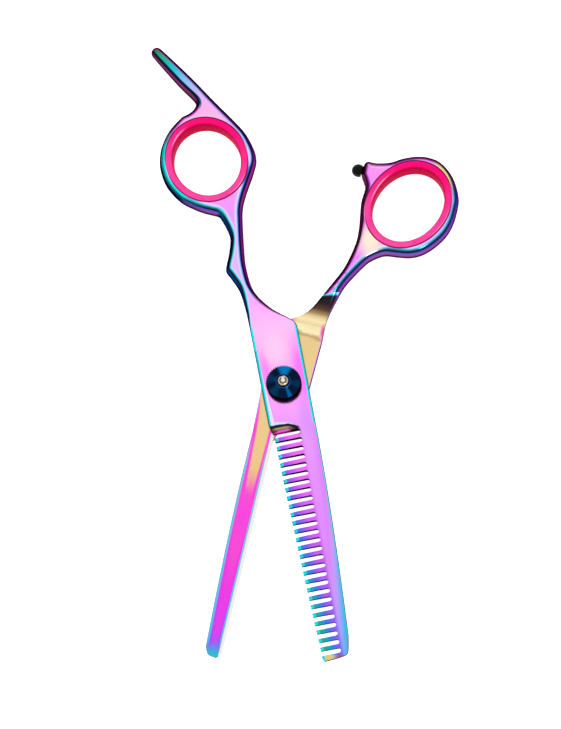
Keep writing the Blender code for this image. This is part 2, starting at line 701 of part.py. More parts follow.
def pivot_bolt(finish, parent):
    """The bolt: a keyed flat head, a round shaft, a neck with two flats, and a threaded end with a dome."""
    chamfer = HEAD_CHAMFER
    neck_top = CLICK_ROOF - ADJUST_TRAVEL
    loops = [
        flatted(HEAD_RADIUS - chamfer, HEAD_FLAT - chamfer, 0),
        flatted(HEAD_RADIUS, HEAD_FLAT, chamfer),
        flatted(HEAD_RADIUS, HEAD_FLAT, HEAD_THICKNESS),
        circle(SHAFT_RADIUS, HEAD_THICKNESS),
        circle(SHAFT_RADIUS, BUSH_ROOF),
        flatted(NECK_RADIUS, NECK_FLAT, BUSH_ROOF),
        flatted(NECK_RADIUS, NECK_FLAT, neck_top),
        circle(THREAD_RADIUS, neck_top),
        circle(THREAD_RADIUS, STUD_TOP),
    ]
    for angle in (30, 60, 80):
        turn = math.radians(angle)
        loops.append(circle(THREAD_RADIUS * math.cos(turn), STUD_TOP + STUD_DOME * math.sin(turn)))
    stacked("pivot_bolt", loops, finish, parent)


def blade_washer(finish, parent):
    """The plain flat washer between the halves, in the comb half's pocket."""
    floor, roof = WASHER_FLOOR, WASHER_FLOOR + WASHER_THICKNESS
    inner, outer = BORE_RADIUS, WASHER_RADIUS
    steps = ((outer, floor), (outer, roof), (inner, roof), (inner, floor))
    closed_band("blade_washer", [circle(radius, z) for radius, z in steps], finish, parent)


def pivot_bush(finish, parent):
    """The flanged sleeve that turns on the bolt, in the comb half's bore."""
    floor = WASHER_POCKET_ROOF + RUNNING
    steps = ((BUSH_RADIUS, floor), (BUSH_RADIUS, BUSH_FLANGE_FLOOR))
    steps += ((BUSH_FLANGE_RADIUS, BUSH_FLANGE_FLOOR), (BUSH_FLANGE_RADIUS, BUSH_ROOF))
    steps += ((BORE_RADIUS, BUSH_ROOF), (BORE_RADIUS, floor))
    closed_band("pivot_bush", [circle(radius, z) for radius, z in steps], finish, parent)


def spring_washer(finish, parent):
    """The wavy washer that keeps the dial from working loose."""
    sides = 48
    loops = []
    inner = NECK_RADIUS + SEAT
    for radius, lift in ((SPRING_RADIUS, 0), (SPRING_RADIUS, 1), (inner, 1), (inner, 0)):
        base = SPRING_FLOOR + lift * SPRING_THICKNESS + SPRING_WAVE
        loop = []
        for x, y, _ in circle(radius, 0, sides):
            loop.append((x, y, base + SPRING_WAVE * math.cos(SPRING_WAVES * math.atan2(y, x))))
        loops.append(loop)
    closed_band("spring_washer", loops, finish, parent)


def click_plate(finish, parent):
    """The detent washer: two flats inside keep it from turning, and its rim has a notch for each click."""
    per_notch = 4
    sides = CLICK_NOTCHES * per_notch
    rims = []
    for z in (CLICK_FLOOR, CLICK_ROOF):
        rim = []
        for n, (x, y, _) in enumerate(circle(1.0, z, sides)):
            radius = CLICK_RADIUS - (CLICK_NOTCH_DEPTH if n % per_notch == 0 else 0.0)
            rim.append((x * radius, y * radius, z))
        rims.append(rim)
    inner = NECK_RADIUS + RUNNING, NECK_FLAT + RUNNING
    rims += [flatted(*inner, CLICK_ROOF, sides), flatted(*inner, CLICK_FLOOR, sides)]
    closed_band("click_plate", rims, finish, parent)


def knurled(z):
    """The dial's rim at one height: every other point is set in by the knurl's depth."""
    loop = []
    for n, (x, y, _) in enumerate(circle(1, z, 2 * KNURL_TEETH)):
        radius = DIAL_RADIUS - KNURL_DEPTH * (n % 2)
        loop.append((x * radius, y * radius, z))
    return loop


def tension_dial(finish, parent):
    """The dial: a knurled rim, a shallow cone with a collar, a threaded bore, and a pocket underneath."""
    sides = 2 * KNURL_TEETH
    pocket = DIAL_RADIUS - DIAL_SKIRT_WALL - KNURL_DEPTH
    bore = THREAD_RADIUS + RUNNING
    rim_foot = DIAL_RADIUS - KNURL_DEPTH - DIAL_CHAMFER / 2
    loops = [
        circle(pocket, DIAL_FLOOR, sides),
        circle(rim_foot, DIAL_FLOOR, sides),
        knurled(DIAL_FLOOR + DIAL_CHAMFER),
        knurled(DIAL_SHOULDER - DIAL_CHAMFER),
        circle(rim_foot, DIAL_SHOULDER, sides),
        circle(DIAL_COLLAR_RADIUS, DIAL_TOP, sides),
        circle(DIAL_COLLAR_RADIUS - DIAL_CHAMFER / 2, DIAL_TOP + DIAL_COLLAR_HEIGHT, sides),
        circle(bore, DIAL_TOP + DIAL_COLLAR_HEIGHT, sides),
        circle(bore, DIAL_POCKET_ROOF, sides),
        circle(pocket, DIAL_POCKET_ROOF, sides),
    ]
    closed_band("tension_dial", loops, finish, parent)


def empty(name, angle=0.0):
    """An empty on the pivot axis, turned by an angle in degrees."""
    made = bpy.data.objects.new(name, None)
    made.rotation_euler.z = math.radians(angle)
    bpy.context.scene.collection.objects.link(made)
    return made


def main():
    """Clears the scene and builds the shears."""
    for old in list(bpy.data.objects):
        bpy.data.objects.remove(old, do_unlink=True)
    comb_axis = empty("comb_pivot_axis", OPEN_COMB)
    plain_axis = empty("plain_pivot_axis", OPEN_PLAIN)
    dial_axis = empty("dial_axis")
    coated = material("rainbow_coated_steel", (0.78, 0.36, 0.78), 0.18, 1.0)
    ground = material("ground_steel", (0.80, 0.42, 0.70), 0.25, 1.0)
    steel = material("bare_steel", (0.72, 0.70, 0.66), 0.22, 1.0)
    spring = material("spring_steel", (0.45, 0.46, 0.48), 0.35, 1.0)
    blue = material("blued_steel", (0.03, 0.07, 0.16), 0.3, 1.0)
    nylon = material("nylon", (0.85, 0.84, 0.80), 0.5, 0.0)
    pink = material("pink_elastomer", (1.0, 0.09, 0.32), 0.45, 0.0)
    black = material("black_rubber", (0.02, 0.02, 0.02), 0.7, 0.0)
    comb_half(coated, comb_axis)
    plain_half(ground, plain_axis)
    finger_insert("finger_insert_left", LEFT_RING, pink, comb_axis)
    finger_insert("finger_insert_right", RIGHT_RING, pink, plain_axis)
    bumper(black, plain_axis)
    pivot_bolt(steel, plain_axis)
    blade_washer(nylon, comb_axis)
    pivot_bush(nylon, comb_axis)
    spring_washer(spring, plain_axis)
    click_plate(spring, plain_axis)
    tension_dial(blue, dial_axis)


main()
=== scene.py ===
"""Thinning shears: the finished surfaces of every piece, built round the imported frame.

Each half is drawn shut, with its blade along -Y, and turned about the pivot axis to its
place in the open shears. Sizes are in millimetres until a mesh is made, which is in metres.
"""

import logging
import math
from collections.abc import Callable, Sequence
from dataclasses import dataclass, field
from enum import Enum

import bmesh
import bpy
import numpy as np
from mathutils import Matrix, Vector
from mathutils.geometry import delaunay_2d_cdt
from mathutils.kdtree import KDTree


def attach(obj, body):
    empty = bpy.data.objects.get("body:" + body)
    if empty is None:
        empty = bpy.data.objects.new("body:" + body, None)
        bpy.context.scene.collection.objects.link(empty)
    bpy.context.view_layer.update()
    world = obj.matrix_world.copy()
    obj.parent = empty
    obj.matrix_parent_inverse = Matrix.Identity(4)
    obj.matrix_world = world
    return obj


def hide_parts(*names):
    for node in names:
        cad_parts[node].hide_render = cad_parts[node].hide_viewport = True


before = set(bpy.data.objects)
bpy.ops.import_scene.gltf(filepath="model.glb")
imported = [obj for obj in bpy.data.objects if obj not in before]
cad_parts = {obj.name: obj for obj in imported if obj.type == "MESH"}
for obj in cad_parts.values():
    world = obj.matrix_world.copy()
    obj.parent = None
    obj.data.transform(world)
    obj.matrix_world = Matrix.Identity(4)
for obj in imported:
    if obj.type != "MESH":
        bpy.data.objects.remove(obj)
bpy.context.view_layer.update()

Colour = tuple[float, float, float]
Point2 = tuple[float, float]
Point3 = tuple[float, float, float]
Plan = np.ndarray

MM = 0.001
LOG = logging.getLogger("shears")


# ---------------------------------------------------------------- small helpers


def srgb(red: int, green: int, blue: int) -> Colour:
    """A colour given in display values, 0 to 255, as the linear values that shaders take.

    Args:
        red, green, blue: The display values.

    Returns:
        The linear colour.
    """
    linear = []
    for value in (red, green, blue):
        share = value / 255
        linear.append(share / 12.92 if share <= 0.04045 else ((share + 0.055) / 1.055) ** 2.4)
    return linear[0], linear[1], linear[2]


def between(low: float, high: float, share: np.ndarray | float) -> np.ndarray | float:
    """The value a share of the way from low to high."""
    return low + (high - low) * share


def eased(low: float, high: float, share: np.ndarray | float) -> np.ndarray | float:
    """The value a share of the way from low to high, eased at both ends and held past them."""
    share = np.clip(share, 0, 1)
    return low + (high - low) * share * share * (3 - 2 * share)


def turned(points: Plan, degrees: float) -> Plan:
    """Plan points turned about the pivot axis.

    Args:
        points: Points, one to a row.
        degrees: Angle to turn by, anticlockwise.

    Returns:
        The turned points.
    """
    angle = math.radians(degrees)
    spin = np.array([[math.cos(angle), math.sin(angle)], [-math.sin(angle), math.cos(angle)]])
    return points @ spin


def smooth(points: Sequence[Point2], step: float) -> list[np.ndarray]:
    """Points along an open curve that runs evenly through the given ones.

    Args:
        points: The points to run through.
        step: About how far apart the new points are, in millimetres.

    Returns:
        The curve's points, both ends among them.
    """
    knots = [np.array(point, float) for point in points]
    knots = [2 * knots[0] - knots[1], *knots, 2 * knots[-1] - knots[-2]]
    curve = []
    for before, start, end, after in zip(knots, knots[1:], knots[2:], knots[3:]):
        span = np.linalg.norm(end - start)
        lead = start + (end - before) / 6 * min(1, 2 * span / np.linalg.norm(end - before))
        tail = end - (after - start) / 6 * min(1, 2 * span / np.linalg.norm(after - start))
        count = max(1, round(span / step))
        for n in range(count):
            t = n / count
            near_start = (1 - t) ** 3 * start + 3 * t * (1 - t) ** 2 * lead
            near_end = 3 * t * t * (1 - t) * tail + t**3 * end
            curve.append(near_start + near_end)
    curve.append(knots[-2])
    return curve


def divided(points: Sequence[Point2], step: float) -> Plan:
    """A closed outline whose long sides have been divided into short ones.

    Args:
        points: The outline's corners.
        step: The longest side to leave, in millimetres.

    Returns:
        The outline, with the corners kept.
    """
    corners = np.array([(float(x), float(y)) for x, y in points])
    made = []
    for start, end in zip(corners, np.roll(corners, -1, axis=0)):
        count = max(1, math.ceil(np.linalg.norm(end - start) / step))
        made += [start + (end - start) * n / count for n in range(count)]
    return np.array(made)


def nearest(points: Plan, outline: Plan) -> tuple[np.ndarray, np.ndarray, np.ndarray]:
    """Where each point is nearest to a closed outline.

    Args:
        points: The points to place.
        outline: The outline's points, in order.

    Returns:
        The distance, the index of the nearest side, and the share of the way along it.
    """
    tree = KDTree(len(outline))
    for n, (x, y) in enumerate(outline):
        tree.insert((x, y, 0), n)
    tree.balance()
    corners = np.array([[hit[1] for hit in tree.find_n((x, y, 0), 3)] for x, y in points])
    index = np.concatenate([corners, (corners - 1) % len(outline)], 1)
    start = outline[index]
    side = outline[(index + 1) % len(outline)] - start
    offset = points[:, None, :] - start
    share = np.clip((offset * side).sum(2) / (side**2).sum(2), 0, 1)
    gap = np.linalg.norm(offset - share[:, :, None] * side, axis=2)
    best = gap.argmin(1)
    rows = np.arange(len(points))
    return gap[rows, best], index[rows, best], share[rows, best]


def inside(points: Plan, outline: Plan) -> np.ndarray:
    """Which points lie inside a closed outline.

    Args:
        points: Points, one to a row.
        outline: Closed plan outline.

    Returns:
        True for each point that lies inside.
    """
    here, there = outline, np.roll(outline, -1, axis=0)
    rise = np.where(there[:, 1] == here[:, 1], 1, there[:, 1] - here[:, 1])
    answers = []
    for part in np.array_split(points, max(1, len(points) // 4000)):
        x, y = part[:, 0:1], part[:, 1:2]
        crosses = (here[:, 1] > y) != (there[:, 1] > y)
        at = here[:, 0] + (y - here[:, 1]) * (there[:, 0] - here[:, 0]) / rise
        answers.append((crosses & (x < at)).sum(1) % 2 == 1)
    return np.concatenate(answers)


def grid(x_range: Point2, y_range: Point2, step: float) -> Plan:
    """Plan points on a staggered grid.

    Args:
        x_range: Lowest and highest X.
        y_range: Lowest and highest Y.
        step: Distance from one point to the next.

    Returns:
        The grid's points.
    """
    x, y = np.meshgrid(np.arange(*x_range, step), np.arange(*y_range, step * 0.87))
    x = x + step / 2 * (np.arange(len(y)) % 2)[:, None]
    return np.stack([x.ravel(), y.ravel()], 1)


def circle(radius: float, sides: int) -> Plan:
    """A circle of plan points round the pivot axis."""
    turn = np.arange(sides) * 2 * math.pi / sides
    return np.stack([radius * np.cos(turn), radius * np.sin(turn)], 1)


def flatted(radius: float, flat: float, sides: int) -> Plan:
    """A circle of plan points with two flats, which face +X and -X.

    Args:
        radius: Radius of the round part.
        flat: Distance from the middle to each flat.
        sides: Number of points round it.

    Returns:
        The outline's points.
    """
    loop = circle(radius, sides)
    loop[:, 0] = np.clip(loop[:, 0], -flat, flat)
    return loop


def lifted(loop: Plan, z: np.ndarray | float) -> np.ndarray:
    """Plan points with a height each, or one for all."""
    return np.column_stack([loop, np.broadcast_to(z, len(loop))])


class Skin:
    """Collects the faces of one closed surface, joining points that coincide."""

    def __init__(self) -> None:
        """Starts with nothing."""
        self.points: list[tuple[float, float, float]] = []
        self.faces: list[tuple[int, ...]] = []
        self.known: dict[tuple[int, int, int], int] = {}

    def add_points(self, points: np.ndarray) -> list[int]:
        """Adds points, or finds the ones that are there.

        Args:
            points: Rows of x, y and z in millimetres.

        Returns:
            The index of each.
        """
        indices = []
        for x, y, z in points:
            key = (round(x * 2000), round(y * 2000), round(z * 2000))
            if key not in self.known:
                self.known[key] = len(self.points)
                self.points.append((x, y, z))
            indices.append(self.known[key])
        return indices

    def add_face(self, corners: Sequence[int]) -> None:
        """Adds a face, unless joining its points has left it with fewer than three.

        Args:
            corners: Numbers of the face's points, in order.
        """
        kept = [c for n, c in enumerate(corners) if c != corners[n - 1]]
        if len(set(kept)) == len(kept) and len(kept) > 2:
            self.faces.append(tuple(kept))

    def band(self, loops: Sequence[np.ndarray], closed: bool = False) -> None:
        """Skins loops of equal length.

        Args:
            loops: The loops, each rows of x, y and z.
            closed: Whether the last loop joins back to the first.
        """
        rows = [self.add_points(loop) for loop in loops]
        pairs = list(zip(rows, rows[1:]))
        if closed:
            pairs.append((rows[-1], rows[0]))
        for low, high in pairs:
            for n in range(len(low)):
                after = (n + 1) % len(low)
                self.add_face((low[n], low[after], high[after], high[n]))

    def cap(self, loop: np.ndarray, centre: tuple[float, float, float]) -> None:
        """Closes a loop with triangles to a centre point.

        Args:
            loop: Points round the opening, in order.
            centre: Point in the middle of the cap.
        """
        rim = self.add_points(loop)
        hub = self.add_points(np.array([centre]))[0]
        for n in range(len(rim)):
            self.add_face((rim[n], rim[(n + 1) % len(rim)], hub))

    def piece(self, name: str, sharp: float = 35.0, turn: float = 0.0) -> bpy.types.Object:
        """Makes the object.

        Args:
            name: The object's name.
            sharp: Edges over this angle, in degrees, are shaded sharp.
            turn: Degrees to turn the points about the pivot axis.

        Returns:
            The object, linked to the scene, with its faces pointing out.
        """
        mesh = bpy.data.meshes.new(name)
        points = np.array(self.points)
        points[:, :2] = turned(points[:, :2], turn)
        mesh.from_pydata([Vector(point) * MM for point in points], [], self.faces)
        shell = bmesh.new()
        shell.from_mesh(mesh)
        bmesh.ops.dissolve_degenerate(shell, dist=1e-8, edges=shell.edges)
        bmesh.ops.recalc_face_normals(shell, faces=shell.faces)
        shell.to_mesh(mesh)
        shell.free()
        mesh.shade_smooth()
        mesh.set_sharp_from_angle(angle=math.radians(sharp))
        made = bpy.data.objects.new(name, mesh)
        bpy.context.scene.collection.objects.link(made)
        return made


# ---------------------------------------------------------------- shader building


Socket = bpy.types.NodeSocket
Feed = "Socket | float | tuple[float, ...]"


class Shade:
    """A material's node tree, with a method for each kind of node that the finishes use."""

    def __init__(self, name: str) -> None:
        """Starts a material that has only its shader.

        Args:
            name: The material's name.
        """
        self.material = bpy.data.materials.new(name)
        self.material.use_nodes = True
        self.nodes = self.material.node_tree.nodes
        self.links = self.material.node_tree.links
        self.shader = self.nodes["Principled BSDF"]

    def feed(self, socket: Socket, value: Feed) -> None:
        """Links a socket to another, or sets its value.

        Args:
            socket: Input to be filled.
            value: Number, colour or output that fills it.
        """
        if isinstance(value, bpy.types.NodeSocket):
            self.links.new(value, socket)
        elif isinstance(value, tuple) and len(value) == 3 and socket.type == "RGBA":
            socket.default_value = (*value, 1.0)
        else:
            socket.default_value = value

    def place(self, output: str) -> Socket:
        """An output of the texture coordinates, such as Object or Normal."""
        return self.nodes.new("ShaderNodeTexCoord").outputs[output]

    def scaled(self, vector: Socket, scale: tuple[float, float, float]) -> Socket:
        """A vector with each part multiplied.

        Args:
            vector: Output that holds a vector.
            scale: Factor along each axis.

        Returns:
            The scaled vector.
        """
        node = self.nodes.new("ShaderNodeVectorMath")
        node.operation = "MULTIPLY"
        self.feed(node.inputs[0], vector)
        self.feed(node.inputs[1], scale)
        return node.outputs["Vector"]

    def spun(self, vector: Socket, degrees: float) -> Socket:
        """A vector turned about Z.

        Args:
            vector: Output that holds a vector.
            degrees: Angle to turn by, anticlockwise.

        Returns:
            The turned vector.
        """
        node = self.nodes.new("ShaderNodeVectorRotate")
        node.rotation_type = "Z_AXIS"
        self.feed(node.inputs["Vector"], vector)
        node.inputs["Angle"].default_value = math.radians(degrees)
        return node.outputs[0]

    def parts(self, vector: Socket) -> tuple[Socket, Socket, Socket]:
        """The x, y and z of a vector.

        Args:
            vector: Output that holds a vector.

        Returns:
            Its X, Y and Z.
        """
        node = self.nodes.new("ShaderNodeSeparateXYZ")
        self.feed(node.inputs[0], vector)
        return node.outputs[0], node.outputs[1], node.outputs[2]

    def math(self, operation: str, *values: Feed) -> Socket:
        """The result of a math node.

        Args:
            operation: Blender's name for it.
            values: One to three values.

        Returns:
            The result.
        """
        node = self.nodes.new("ShaderNodeMath")
        node.operation = operation
        for socket, value in zip(node.inputs, values):
            self.feed(socket, value)
        return node.outputs[0]

    def ranged(self, value: Feed, low: float, high: float) -> Socket:
        """0 at low, 1 at high, eased between and held past them. Low may be the greater.

        Args:
            value: Number or output that is used.
            low: Value that gives 0.
            high: Value that gives 1.

        Returns:
            A value from 0 to 1.
        """
        node = self.nodes.new("ShaderNodeMapRange")
        node.interpolation_type = "SMOOTHSTEP"
        self.feed(node.inputs["Value"], value)
        node.inputs["From Min"].default_value = low
        node.inputs["From Max"].default_value = high
        return node.outputs[0]

    def ramp(self, value: Feed, stops: Sequence[tuple[float, Colour]]) -> Socket:
        """A colour for each value from 0 to 1.

        Args:
            value: Number or output that is used.
            stops: Places and their colours, in order.

        Returns:
            The colour at that value.
        """
        node = self.nodes.new("ShaderNodeValToRGB")
        elements = node.color_ramp.elements
        while len(elements) < len(stops):
            elements.new(0.5)
        for element, (position, colour) in zip(elements, stops):
            element.position = position
            element.color = (*colour, 1.0)
        self.feed(node.inputs[0], value)
        return node.outputs["Color"]

    def mixed(self, share: Feed, first: Feed, second: Feed) -> Socket:
        """A share of the way from the first colour to the second.

        Args:
            share: How much of the second is wanted.
            first: What a share of 0 gives.
            second: What a share of 1 gives.

        Returns:
            The mixture.
        """
        node = self.nodes.new("ShaderNodeMix")
        node.data_type = "RGBA"
        node.clamp_factor = True
        self.feed(node.inputs["Factor"], share)
        self.feed(node.inputs[6], first)
        self.feed(node.inputs[7], second)
        return node.outputs[2]

    def noise(self, vector: Socket, scale: float, detail: float = 2.0, roughness: float = 0.5) -> Socket:
        """Smooth noise, about 0.5 on average, at a number of lumps for each unit of the vector.

        Args:
            vector: Output that holds a vector.
            scale: Waves in each unit of length.
            detail: Number of finer waves added.
            roughness: Strength of the finer waves.

        Returns:
            A value about 0.5.
        """
        node = self.nodes.new("ShaderNodeTexNoise")
        self.feed(node.inputs["Vector"], vector)
        node.inputs["Scale"].default_value = scale
        node.inputs["Detail"].default_value = detail
        node.inputs["Roughness"].default_value = roughness
        return node.outputs["Fac"]

    def mask(self, name: str) -> Socket:
        """A number that the mesh stores at each point.

        Args:
            name: Name of the mask on the mesh.

        Returns:
            The mask's value.
        """
        node = self.nodes.new("ShaderNodeAttribute")
        node.attribute_name = name
        return node.outputs["Fac"]

    def bump(self, height: Socket, depth: float, strength: float = 1.0) -> None:
        """Bumps the shader's normal.

        Args:
            height: The height, from 0 to 1.
            depth: How deep that is, in millimetres.
            strength: Blender's strength.
        """
        node = self.nodes.new("ShaderNodeBump")
        node.inputs["Strength"].default_value = strength
        node.inputs["Distance"].default_value = depth * MM
        self.feed(node.inputs["Height"], height)
        self.links.new(node.outputs[0], self.shader.inputs["Normal"])

    def set(self, **values: Feed) -> None:
        """Sets the shader's sockets: base_color=..., specular_tint=... and so on."""
        for name, value in values.items():
            self.feed(self.shader.inputs[name.replace("_", " ").title().replace("Ior", "IOR")], value)


def stops(low: float, high: float, *pairs: tuple[float, Colour]) -> list[tuple[float, Colour]]:
    """Ramp stops given by a length in millimetres, for a ramp that runs from low to high."""
    return [((at - low) / (high - low), colour) for at, colour in pairs]


@dataclass(frozen=True)
class Cove:
    """A hollow across a half whose colour follows its length: the coating's colour with painted shade and
    painted reflections.

    Attributes:
        ends: Y where it starts and where it ends, in that order up the half.
        tones: Its colours, by y, painted shade and painted reflections among them.
        shade: The painted shade towards its two sides.
        dark: X where each side is fully that colour, and where it starts to be.
        tilted: Whether level surface there keeps the half's own colour.
        slope: How much lower it lies for each millimetre across from the plate's left side.
        curl: The same past the middle, added to the slope.
        tongue: How much higher the upper end lies for each millimetre across, and from where.
    """

    ends: Point2
    tones: tuple[tuple[float, Colour], ...]
    shade: Colour
    dark: tuple[Point2, Point2]
    tilted: bool
    slope: float = 0.0
    curl: float = 0.0
    tongue: Point2 = (0.0, 0.0)


@dataclass(frozen=True)
class RainbowCoating:
    """A polished steel half under a thin coating whose colour follows its thickness.

    The flat colour changes along the half, and sooner towards a blade's edges. The tilted one changes with
    how far the surface leans from level, and which way: partly the coating's own shift of colour, partly
    painted reflections, dark bands where steep metal would mirror the dark room and pale ones where it would
    mirror the lamps. Hollows and walls get painted shade as well.
    """

    name: str
    along: tuple[tuple[float, Colour], ...]
    left: tuple[tuple[float, Colour], ...]
    right: tuple[tuple[float, Colour], ...]
    upper: tuple[tuple[float, Colour], ...]
    lower: tuple[tuple[float, Colour], ...]
    blade_walls: tuple[tuple[float, Colour], ...]
    cove: Cove
    patches: tuple[tuple[Point2, Point2, float, Colour], ...] = ()
    rim_shift: float = 30.0
    rim_colour: Colour = (0.0, 0.5, 0.6)
    rim_band: Point2 = (0.62, 0.3)
    rim_from: Point2 = (-10.5, -11.5)
    # Strength of a black line along the very edge, a painted dark reflection.
    rim_dark_reflection: float = 0.0
    shank_left: tuple[tuple[float, Colour], ...] = ()
    tang_left: tuple[tuple[float, Colour], ...] = ()
    teeth: tuple[tuple[float, Colour], ...] = ()
    teeth_x: float = 1.9
    blade_top: float = 13.0
    low: float = -120.0
    high: float = 100.0
    bare: Colour = srgb(232, 228, 222)
    edge_tint: Colour = (0.13, 0.1, 0.12)
    roughness: float = 0.12
    grain: float = 0.5

    def in_cove(self, s: Shade, x: Socket, y: Socket, tilt: Socket) -> tuple[Socket, Socket]:
        """How much each point belongs to the cove, and the cove's colour there, painted shade and
        reflections included.

        Args:
            s: Material that is being made.
            x: Places across the half.
            y: Places along the half.
            tilt: How far the surface leans from level.

        Returns:
            The share of the cove, and its colour.
        """
        low, high = self.cove.ends
        fall = s.math("MULTIPLY", s.math("ADD", x, STACK.plate_half), self.cove.slope)
        past = s.math("MINIMUM", s.math("MAXIMUM", s.math("ADD", x, 1.0), 0.0), 3.2)
        y = s.math("ADD", s.math("ADD", y, fall), s.math("MULTIPLY", past, self.cove.curl))
        rise, centre = self.cove.tongue
        aside = s.math("MULTIPLY", s.math("SUBTRACT", x, centre), rise)
        y = s.math("SUBTRACT", y, s.math("MULTIPLY", aside, s.ranged(y, 24.0, 27.0)))
        above = s.ranged(y, low - 0.12, low + 0.12)
        within = s.math("MULTIPLY", above, s.ranged(y, high + 0.06, high - 0.06))
        if self.cove.tilted:
            within = s.math("MULTIPLY", within, s.ranged(tilt, 0.05, 0.14))
            within = s.math("MULTIPLY", within, s.ranged(x, 2.3, 1.3))
        else:
            within = s.math("MULTIPLY", within, s.ranged(tilt, 0.8, 0.66))
        share = s.math("DIVIDE", s.math("SUBTRACT", y, low), high - low)
        colour = s.ramp(share, stops(low, high, *self.cove.tones))
        # Painted shade darkens the cove towards each side.
        for full, start in self.cove.dark:
            colour = s.mixed(s.ranged(x, start, full), colour, self.cove.shade)
        return within, colour

    def build(self, turn: float) -> bpy.types.Material:
        """Makes the material, with its grain, its wear and its drift of colour.

        Args:
            turn: Degrees that the half has been turned from shut.

        Returns:
            The material.
        """
        s = Shade(self.name)
        place = s.spun(s.scaled(s.place("Object"), (1000, 1000, 1000)), -turn)
        x, y, _ = s.parts(place)
        nx, ny, nz = s.parts(s.spun(s.place("Normal"), -turn))
        drift = s.math("SUBTRACT", s.noise(place, 0.16), 0.5)
        fine = s.math("SUBTRACT", s.noise(place, 0.9, 3.0), 0.5)
        level = s.math("MULTIPLY", s.math("ARCCOSINE", s.math("ABSOLUTE", nz)), 2 / math.pi)
        tilt = s.math("ADD", level, s.math("MULTIPLY", drift, 0.05))
        rim = s.mask("rim")
        shifted = s.math("ADD", y, s.math("MULTIPLY", drift, 5.0))
        shifted = s.math("ADD", shifted, s.math("MULTIPLY", fine, 0.8))
        near_rim = s.math("SUBTRACT", 1.0, rim)
        shifted = s.math("SUBTRACT", shifted, s.math("MULTIPLY", near_rim, self.rim_shift))
        share = s.math("DIVIDE", s.math("SUBTRACT", shifted, self.low), self.high - self.low)
        flat = s.ramp(share, stops(self.low, self.high, *self.along))
        if self.teeth:
            past_root = s.ranged(x, self.teeth_x + 0.7, self.teeth_x - 0.5)
            on_teeth = s.math("MULTIPLY", past_root, s.ranged(y, -11.2, -12.2))
            flat = s.mixed(on_teeth, flat, s.ramp(share, stops(self.low, self.high, *self.teeth)))
        at_rim = s.math("MULTIPLY", s.ranged(rim, *self.rim_band), s.ranged(y, *self.rim_from))
        flat = s.mixed(s.math("MULTIPLY", at_rim, 0.92), flat, self.rim_colour)
        # A painted dark reflection: a thin black line along the outer edge.
        flat = s.mixed(s.math("MULTIPLY", s.ranged(rim, 0.07, 0.03), self.rim_dark_reflection), flat, BLACK)
        sideways = s.math("SQRT", s.math("ADD", s.math("MULTIPLY", nx, nx), s.math("MULTIPLY", ny, ny)))
        sideways = s.math("MAXIMUM", sideways, 0.001)
        heading = s.math("DIVIDE", nx, sideways)
        toward = s.math("DIVIDE", ny, sideways)
        on_handle = s.ranged(y, self.blade_top, self.blade_top + 8)
        rightward = s.math("MULTIPLY", s.ranged(heading, -0.45, 0.45), on_handle)
        # The ramps by tilt paint reflections into the colour: their black bands stand for the dark room
        # mirrored in steep metal, their palest stops for mirrored lamps.
        left = s.ramp(tilt, self.left)
        if self.shank_left:
            on_shank = s.math("MULTIPLY", s.ranged(y, 53, 47), s.ranged(y, 14, 19))
            left = s.mixed(on_shank, left, s.ramp(tilt, self.shank_left))
        if self.tang_left:
            left = s.mixed(s.ranged(y, 73, 79), left, s.ramp(tilt, self.tang_left))
        leaning = s.mixed(rightward, left, s.ramp(tilt, self.right))
        leaning = s.mixed(s.ranged(toward, -0.6, -0.95), leaning, s.ramp(tilt, self.lower))
        leaning = s.mixed(s.ranged(toward, 0.3, 0.75), leaning, s.ramp(tilt, self.upper))
        # Painted shade: in the blade, steep walls under and between the teeth fade from teal to black.
        in_blade = s.ranged(y, self.blade_top + 1, self.blade_top - 1)
        walls = s.ramp(tilt, self.blade_walls)
        leaning = s.mixed(s.math("MULTIPLY", in_blade, s.ranged(tilt, 0.5, 0.7)), leaning, walls)
        allowed = s.math("MULTIPLY", s.ranged(y, -10.5, -11.5), 0.25)
        allowed = s.math("ADD", allowed, s.math("MULTIPLY", s.ranged(y, 78, 85), 0.24))
        leaned = s.ranged(s.math("SUBTRACT", tilt, allowed), 0.02, 0.07)
        colour = s.mixed(leaned, flat, leaning)
        # The coves take their painted shade and painted reflections in place of the coating's colour.
        within, hollow = self.in_cove(s, x, y, level)
        colour = s.mixed(within, colour, hollow)
        steep = s.math("SUBTRACT", tilt, s.math("ADD", 0.12, s.math("MULTIPLY", on_handle, 0.27)))
        wavering = s.math("ADD", y, s.math("MULTIPLY", drift, 3.0))
        for centre, size, strength, tint in self.patches:
            dx = s.math("DIVIDE", s.math("SUBTRACT", x, centre[0]), size[0])
            dy = s.math("DIVIDE", s.math("SUBTRACT", wavering, centre[1]), size[1])
            reach = s.math("SQRT", s.math("ADD", s.math("MULTIPLY", dx, dx), s.math("MULTIPLY", dy, dy)))
            here = s.math("MULTIPLY", s.ranged(reach, 1.0, 0.15), s.ranged(steep, 0.06, 0.0))
            colour = s.mixed(s.math("MULTIPLY", here, strength), colour, tint)
        streaks = s.noise(s.scaled(place, (26.0, 0.7, 26.0)), 1.0, 3.0, 0.6)
        bare = s.mask("bare")
        worn = s.ranged(s.math("ADD", bare, s.math("MULTIPLY", fine, 0.25)), 0.42, 0.58)
        colour = s.mixed(worn, colour, self.bare)
        pale = s.math("MULTIPLY", s.ranged(streaks, 0.35, 0.75), 0.04 * self.grain)
        colour = s.mixed(pale, colour, (1.0, 1.0, 1.0))
        scuffs = s.ranged(s.noise(s.scaled(place, (0.5, 3.5, 0.5)), 1.0, 6.0, 0.65), 0.62, 0.7)
        rough = s.math("ADD", self.roughness, s.math("MULTIPLY", streaks, 0.10 * self.grain))
        rough = s.math("ADD", rough, s.math("MULTIPLY", scuffs, 0.03))
        s.bump(s.math("ADD", streaks, s.math("MULTIPLY", fine, 0.3)), 0.0012 * self.grain, 0.6)
        s.set(base_color=colour, metallic=1.0, roughness=rough, specular_tint=self.edge_tint)
        return s.material


